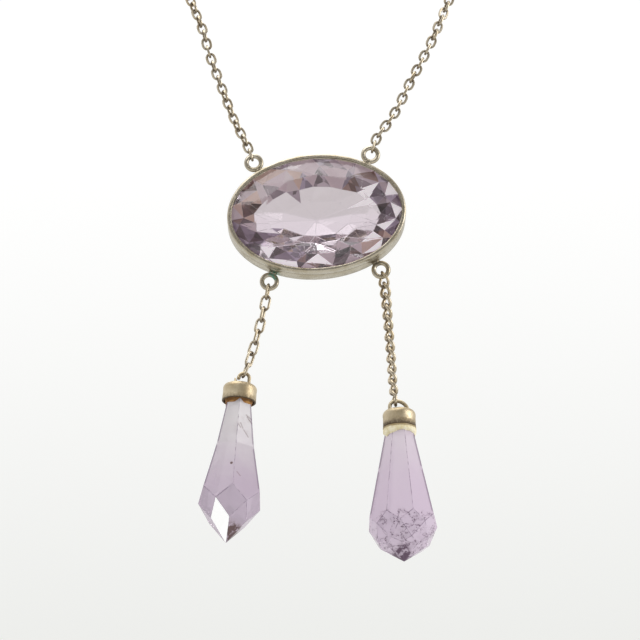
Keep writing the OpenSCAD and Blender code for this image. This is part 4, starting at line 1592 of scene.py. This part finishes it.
# Stops of painted reflection tones for the border's cells: a quarter of them dark, and two
# fifths left clear
SHARDS = [(0.0, (0.22, 0.20, 0.20, 1)), (0.25, (0.46, 0.43, 0.44, 1)),
          (0.44, (0.76, 0.74, 0.76, 1)), (0.62, (1, 1, 1, 1))]


def amethyst(name, pale, deep, heights, veil, marks, rub_and_shade_colour, rubbed_amount, painted_light,
             shards=None, edges=()):
    """Clear stone whose tint goes from pale to deep between two heights in metres, times each
    facet's own tone, on the centre stone's border a painted reflection. marks(f) gives a mask of
    flaws, which take the veil colour; rubbed edges and strokes of painted shade along the given
    (start, end) pairs take the line colour.
    shards are stops of tones for straight-sided cells: painted reflections that break up the
    facets of the border.
    Facets with a large painted share are opaque and give off a faint painted inner light, and
    the brightest take a painted white glint."""
    f = new_finish(name)
    slow = f.noise(3.0, 2.0)
    share = f.ramp(f.height() + (slow - 0.5) * TINT_WAVER, *heights)
    # Each facet's stored tone multiplies the tint; on the centre stone's border it is a painted
    # reflection.
    tint = f.mix(1.0, f.mix(share, pale, deep), f.stored("facet_tone", "Color"), "MULTIPLY")
    misty = f.stored("misty")
    # Painted reflections: cells of other tones break up the facets of the border.
    if shards:
        cell = f.node("ShaderNodeTexVoronoi", {}, {
            "Vector": f.place(COLLET_FRONT.tolist()), "Scale": SHARDS_PER_MM,
            "Randomness": 1.0}, output="Color")
        pick = f.node("ShaderNodeSeparateColor", {}, {"Color": cell})
        other = f.node("ShaderNodeValToRGB", {"stops": shards}, {"Fac": pick}, output="Color")
        border = f.ramp(misty, 0.30, 0.42) * (1 - f.ramp(misty, 0.86, 0.89))
        tint = f.mix(border, tint, other, "MULTIPLY")
    flaws = marks(f)
    tint = f.mix(flaws, tint, veil)
    broken = f.ramp(f.noise(0.8, 4.0, 0.7), 0.30, 0.62)
    lines = f.ramp(f.stored("rubbed"), 0.25, 0.95) * broken * rubbed_amount
    # Painted shade: dark strokes along the drops' silhouette edges.
    for start, end in edges:
        lines = lines + stroke(f, start, end, EDGE_WIDTH) * EDGE_STRENGTH
    lines = lines.clipped()
    tint = f.mix(lines, tint, rub_and_shade_colour)
    # Painted glint: the facets with the largest painted share turn white and give off bright
    # light.
    flash = f.ramp(misty, 0.93, 0.96)
    tint = f.mix(flash, tint, WHITE)
    glass = f.shader(
        Base_Color=tint, Roughness=(0.02 + 0.25 * flaws + 0.20 * lines).clipped(),
        IOR=QUARTZ_INDEX, Transmission_Weight=1.0)
    # Opaque painted facets, tinted by painted reflections, give off a faint painted inner light.
    painted_facets = f.shader(
        Base_Color=tint, Roughness=0.15, IOR=QUARTZ_INDEX, Specular_IOR_Level=0.2,
        Emission_Color=f.mix(flash, tint, PAINTED_GLINT_EMISSION), Emission_Strength=painted_light)
    opaque = (misty + flaws * 0.7 + lines * 0.8).clipped()
    return f.finished(f.node("ShaderNodeMixShader", {}, {0: opaque, 1: glass, 2: painted_facets}))


# %% Flaws of the three stones
# Ends of the left drop's cracks on the front view: across and up, twice
LEFT_CRACKS = [
    [-10.8, -31.4, -10.4, -32.4], [-10.4, -32.4, -9.6, -33.6], [-11.1, -31.7, -10.7, -32.3],
    [-9.9, -30.3, -9.1, -31.4], [-10.1, -30.0, -8.9, -30.9], [-11.3, -39.3, -10.7, -40.0]]
CRACK_WIDTH, CRACK_STRENGTH = 0.14, 0.62


def centre_marks(f):
    """Fine dust and wear on the centre stone."""
    return (f.ramp(f.noise(0.5, 6.0, 0.7), 0.62, 0.75) * 0.2).clipped()


def left_marks(f):
    """Cracks near the top and the middle of the left drop, one brown speck, and a smoky
    patch beside its tip."""
    where = near(f, -10.4, -31.5, -0.8, 2.8) + near(f, -14.4, -39.4, -0.8, 1.4) * 0.7
    cracks = veins(f, 2.2, 0.04, 0.019) * f.ramp(f.noise(0.5, 4.0), 0.30, 0.55) * where * 0.3
    for x1, y1, x2, y2 in LEFT_CRACKS:
        crack = stroke(f, (x1, y1, 0), (x2, y2, 0), CRACK_WIDTH)
        cracks = cracks + crack * CRACK_STRENGTH
    speck = near(f, -12.0, -38.0, 0.2, 0.34) * 1.3
    smoke = near(f, -11.6, -47.7, -1.2, 2.1) * f.ramp(f.noise(0.9, 5.0, 0.7), 0.34, 0.52)
    return (cracks + speck + smoke * 1.3).clipped()


def right_marks(f):
    """Bands of dark specks across the lower part of the right drop, a crust of fine veins
    above them, and a dark tip."""
    flat = f.mapped(f.place(), Scale=(0.55, 0.55, 1.5))
    specks = f.ramp(f.noise(0.45, 7.0, 0.85, flat), 0.52, 0.62)
    bands = f.ramp(f.noise(2.0, 2.0, 0.5, flat), 0.48, 0.60)
    low = below(f, -45.2, 0.8)
    tip = near(f, 12.1, -51.4, -2.2, 2.3) * (0.45 + f.ramp(f.noise(0.9, 3.0), 0.38, 0.55))
    crust = (veins(f, 3.0, 0.05, 0.031) * f.ramp(f.noise(0.22, 5.0, 0.8), 0.42, 0.56)
             * below(f, -44.8, 0.6) * (1 - below(f, -49.5, 2.0)) * 0.9)
    return (specks * bands * low * 1.3 + tip + crust).clipped()


# %% The three stone finishes
# How far above and below its middle the centre stone's tint goes on changing
CENTRE_FADE = 6 * MM


def drop_heights(node, top_share, bottom_share):
    """Heights in metres at two shares of the way down a drop's stone."""
    low, high = (corner[2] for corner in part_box(node))
    return high + (low - high) * top_share, high + (low - high) * bottom_share


centre_finish = amethyst(
    "centre_amethyst", pale=colour(224, 216, 220), deep=colour(220, 211, 218),
    heights=(COLLET_FRONT[2] + CENTRE_FADE, COLLET_FRONT[2] - CENTRE_FADE),
    veil=colour(150, 130, 150), marks=centre_marks, rub_and_shade_colour=colour(250, 244, 252),
    rubbed_amount=0.2, painted_light=0.16, shards=SHARDS)
left_finish = amethyst(
    "left_amethyst", pale=colour(238, 235, 236), deep=colour(212, 197, 213),
    heights=drop_heights("left_drop_stone", 0.15, 0.70), veil=colour(104, 84, 84),
    marks=left_marks, rub_and_shade_colour=colour(116, 102, 120), rubbed_amount=1.0, painted_light=0.10,
    edges=edge_strokes(
        "left", (305, 65), [[2.0, 0.3], [3.05, 7.0], [EDGE_RADIUS["left"], 13.78]]))
right_finish = amethyst(
    "right_amethyst", pale=colour(236, 226, 235), deep=colour(227, 211, 228),
    heights=drop_heights("right_drop_stone", 0.05, 0.60), veil=colour(98, 78, 96),
    marks=right_marks, rub_and_shade_colour=colour(110, 94, 112), rubbed_amount=1.0, painted_light=0.12,
    edges=edge_strokes(
        "right", (287, 62), [[2.25, 1.2], [3.4, 6.6], [EDGE_RADIUS["right"], 13.7]]))
print("stone finishes:", centre_finish.name, left_finish.name, right_finish.name)

# %% Finishes go on their pieces


def dress(piece, finish):
    """Puts one finish on a new piece."""
    piece.data.materials.clear()
    piece.data.materials.append(finish)


dressed = [
    (setting, silver), (clasp, silver), *((piece, link_metal) for piece in chain_pieces),
    *((piece, cap_finish) for piece in caps), (brown_cement, brown_finish),
    (cream_cement, cream_finish), (centre_stone, centre_finish), (left_stone, left_finish),
    (right_stone, right_finish)]
for piece, finish in dressed:
    dress(piece, finish)
print("pieces dressed:", len(dressed))

# %% [markdown]
# ## Studio
# A piece like this is photographed before a white sheet with large soft lights. Clear
# stones show what is around them, so the room is bright behind and darker in front, which
# gives the facets their contrast.

# %% Backdrop and floor
BEHIND, FLOOR_BELOW, IN_FRONT, SHEET_TOP, SHEET_HALF = 5.0, 4.0, -9.0, 9.0, 9.0
TURN_RADIUS = 2.0


def backdrop():
    """A sheet that comes forward as a floor and turns up into a wall with a quarter round."""
    t = np.linspace(0, np.pi / 2, 24)
    turn_y, turn_z = BEHIND - TURN_RADIUS, -FLOOR_BELOW + TURN_RADIUS
    y = np.concatenate([[IN_FRONT], turn_y + TURN_RADIUS * np.sin(t), [BEHIND]])
    z = np.concatenate([[-FLOOR_BELOW], turn_z - TURN_RADIUS * np.cos(t), [SHEET_TOP]])
    x = np.array([-SHEET_HALF, SHEET_HALF])
    grid = np.stack(np.broadcast_arrays(x, y[:, None], z[:, None]), -1)
    mesh = bpy.data.meshes.new("backdrop")
    mesh.from_pydata(
        grid.reshape(-1, 3).tolist(), [], grid_faces(len(y), 2, False, False).tolist())
    sheet = bpy.data.objects.new("backdrop", mesh)
    scene.collection.objects.link(sheet)
    return sheet


def paper_finish():
    """White paper, lit evenly by its own emission so that it keeps its tone, with painted shade
    that makes it darker towards the bottom.
    """
    f = new_finish("backdrop_paper")
    # Painted shade: the paper's emitted colour is darker towards the bottom.
    painted_light = f.mix(f.ramp(f.height(), 1.25, 1.95), colour(219, 220, 217), colour(246, 246, 246))
    return f.finished(f.shader(
        Base_Color=colour(120, 120, 119), Roughness=0.95, Specular_IOR_Level=0.0,
        Emission_Color=painted_light, Emission_Strength=1.0))


paper = backdrop()
dress(paper, paper_finish())
print("backdrop faces:", len(paper.data.polygons))

# %% Lights


def soft_light(name, place, size, watts):
    """A square area light at a place, facing the middle of the picture."""
    light = bpy.data.lights.new(name, "AREA")
    light.shape = "SQUARE"
    light.size = size
    light.energy = watts
    holder = bpy.data.objects.new(name, light)
    holder.location = place
    away = Vector((np.array(place, float) - aim).tolist())
    holder.rotation_euler = away.to_track_quat("Z", "Y").to_euler()
    scene.collection.objects.link(holder)


soft_light("key_light", (-0.3, -0.5, 0.95), size=1.2, watts=9)
soft_light("side_light", (0.95, -0.35, 0.1), size=0.6, watts=4)
soft_light("top_light", (0.0, 0.25, 0.95), size=0.8, watts=3)
print("lights:", len(bpy.data.lights))

# %% The room
DIM_FRONT, BRIGHT_BACK = 0.36, 0.90


def room_light():
    """A white world whose strength grows from the front of the room to its back."""
    room = Finish(bpy.data.worlds.new("room"))
    around = room.node("ShaderNodeTexCoord", output="Generated")
    backwards = room.node("ShaderNodeSeparateXYZ", {}, {"Vector": around}, output="Y")
    strength = room.ramp(backwards, -0.9, 0.2, **{"To Min": DIM_FRONT, "To Max": BRIGHT_BACK})
    light = room.node("ShaderNodeBackground", {}, {"Color": WHITE, "Strength": strength})
    return room.finished(light, "ShaderNodeOutputWorld")


scene.world = room_light()
print("world:", scene.world.name)

# %% Light paths and colour
scene.view_settings.view_transform = "Standard"
scene.cycles.max_bounces = 16
scene.cycles.transmission_bounces = 14
scene.cycles.glossy_bounces = 6
scene.cycles.caustics_refractive = True
scene.cycles.use_denoising = True
print("light bounces:", scene.cycles.max_bounces)
